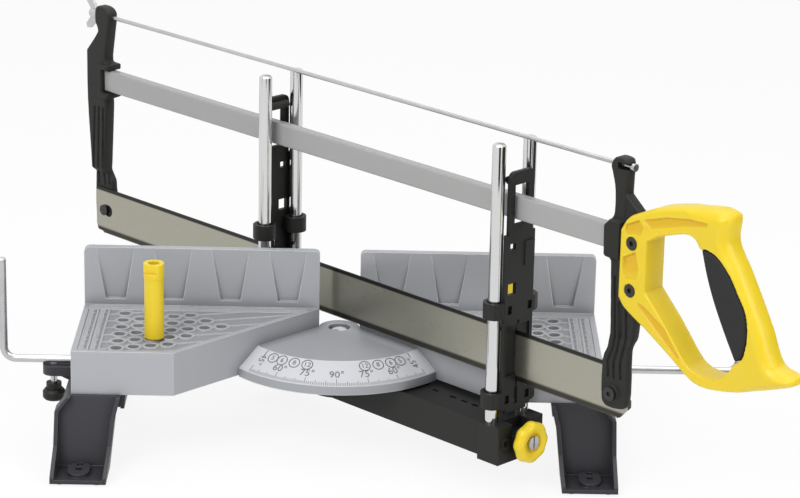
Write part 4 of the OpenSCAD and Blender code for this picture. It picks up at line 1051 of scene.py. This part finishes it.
# %% [markdown]
# The floor is white and keeps a soft shadow. More light would whiten it, but would bleach the
# object too. Instead the floor and the world shine plain white only towards the camera and
# towards mirror-like metal, which the Light Path node tells apart from scattered light.

# %% Floor


def seen_directly(tree):
    """1 for rays from the camera, a mirror or clear material, and 0 for scattered light."""
    path = add(tree, "ShaderNodeLightPath").outputs
    seen = calc(tree, "MAXIMUM", path["Is Camera Ray"], path["Is Glossy Ray"])
    return calc(tree, "MAXIMUM", seen, path["Is Transmission Ray"])


def either(tree, factor, first, second, socket):
    """Blend two shaders by a factor and send the blend to a socket."""
    blend = add(tree, "ShaderNodeMixShader", Fac=factor)
    feed(tree, first, blend.inputs[1])
    feed(tree, second, blend.inputs[2])
    feed(tree, blend.outputs["Shader"], socket)


# The recipe also paints a faint shade on the floor near the saw.
surface("floor_white", colour=(0.92, 0.92, 0.92), drift=(0.90, 0.90, 0.90),
        dark=(0.6, 0.6, 0.62), edge_highlight=(0.92, 0.92, 0.92), rough=(0.7, 0.8),
        scale=60.0, bump=0.0, radius=0.0005, reach=0.02, highlight_strength=0.0, shade=0.3, gloss=0.0)
tree = looks["floor_white"].node_tree
glow = add(tree, "ShaderNodeEmission", Color=(1, 1, 1, 1), Strength=1.0)
either(tree, calc(tree, "MULTIPLY", seen_directly(tree), 0.88),
       tree.nodes["Principled BSDF"].outputs["BSDF"], glow.outputs["Emission"],
       tree.nodes["Material Output"].inputs["Surface"])
bpy.ops.mesh.primitive_plane_add(size=14.0, location=(0, 2.0, 0))
floor = bpy.context.object
floor.name = "floor"
floor.data.materials.append(looks["floor_white"])
print("floor", tuple(round(v, 1) for v in floor.dimensions))

# %% [markdown]
# Three large square lamps light the saw as in a studio: a key from the front left, a weaker
# fill from the right and one overhead. Large lamps give soft shadows, and small ones would give
# hard ones. The world adds a little light from all sides.

# %% Lights


def soft_light(name, place, aim, size, power):
    """A square area light that looks at a point."""
    data = bpy.data.lights.new(name, "AREA")
    data.size = size
    data.energy = power
    lamp = bpy.data.objects.new(name, data)
    lamp.location = place
    lamp.rotation_euler = (Vector(aim) - Vector(place)).to_track_quat("-Z", "Y").to_euler()
    bpy.context.scene.collection.objects.link(lamp)
    print(name, "light of", power, "W")


soft_light("key", (-1.2, -1.8, 1.9), (0, 0, 0.1), 1.6, 47)
soft_light("fill", (1.9, -1.3, 1.3), (0, 0, 0.1), 1.5, 23)
soft_light("top", (0, 0.3, 2.4), (0, 0, 0), 2.2, 25)

# %% World and colours
world = bpy.data.worlds.new("studio")
bpy.context.scene.world = world
world.use_nodes = True
tree = world.node_tree
tree.nodes.clear()
around = add(tree, "ShaderNodeBackground", Color=(1, 1, 1, 1), Strength=0.3)
white = add(tree, "ShaderNodeBackground", Color=(1, 1, 1, 1), Strength=1.0)
sky = add(tree, "ShaderNodeOutputWorld")
either(tree, seen_directly(tree), around.outputs["Background"], white.outputs["Background"],
       sky.inputs["Surface"])
bpy.context.scene.view_settings.view_transform = "Standard"
print("world", world.name)

# %% [markdown]
# Chrome shows what stands round it, and in a white room it would look like white plastic. Cards
# that only reflections see stand beside the saw and in front of it. They give the rods the dark
# and grey lines that the eye expects of polished metal.

# %% Cards for the chrome
for name, look, a, b, top in (
        ("right_card", "black_rubber", (0.75, -0.55), (0.85, 0.25), 0.6),
        ("front_card", "black_rubber", (0.02, -0.86), (0.42, -0.80), 0.5),
        ("left_card", "cast_grey", (-0.80, -0.75), (-0.95, -0.25), 0.5)):
    mesh = bpy.data.meshes.new(name)
    mesh.from_pydata([(*a, 0.0), (*b, 0.0), (*b, top), (*a, top)], [], [(0, 1, 2, 3)])
    mesh.materials.append(looks[look])
    card = bpy.data.objects.new(name, mesh)
    bpy.context.scene.collection.objects.link(card)
    card.visible_camera = False
    card.visible_diffuse = False
    card.visible_shadow = False
    print(name, "stands", top, "m high")
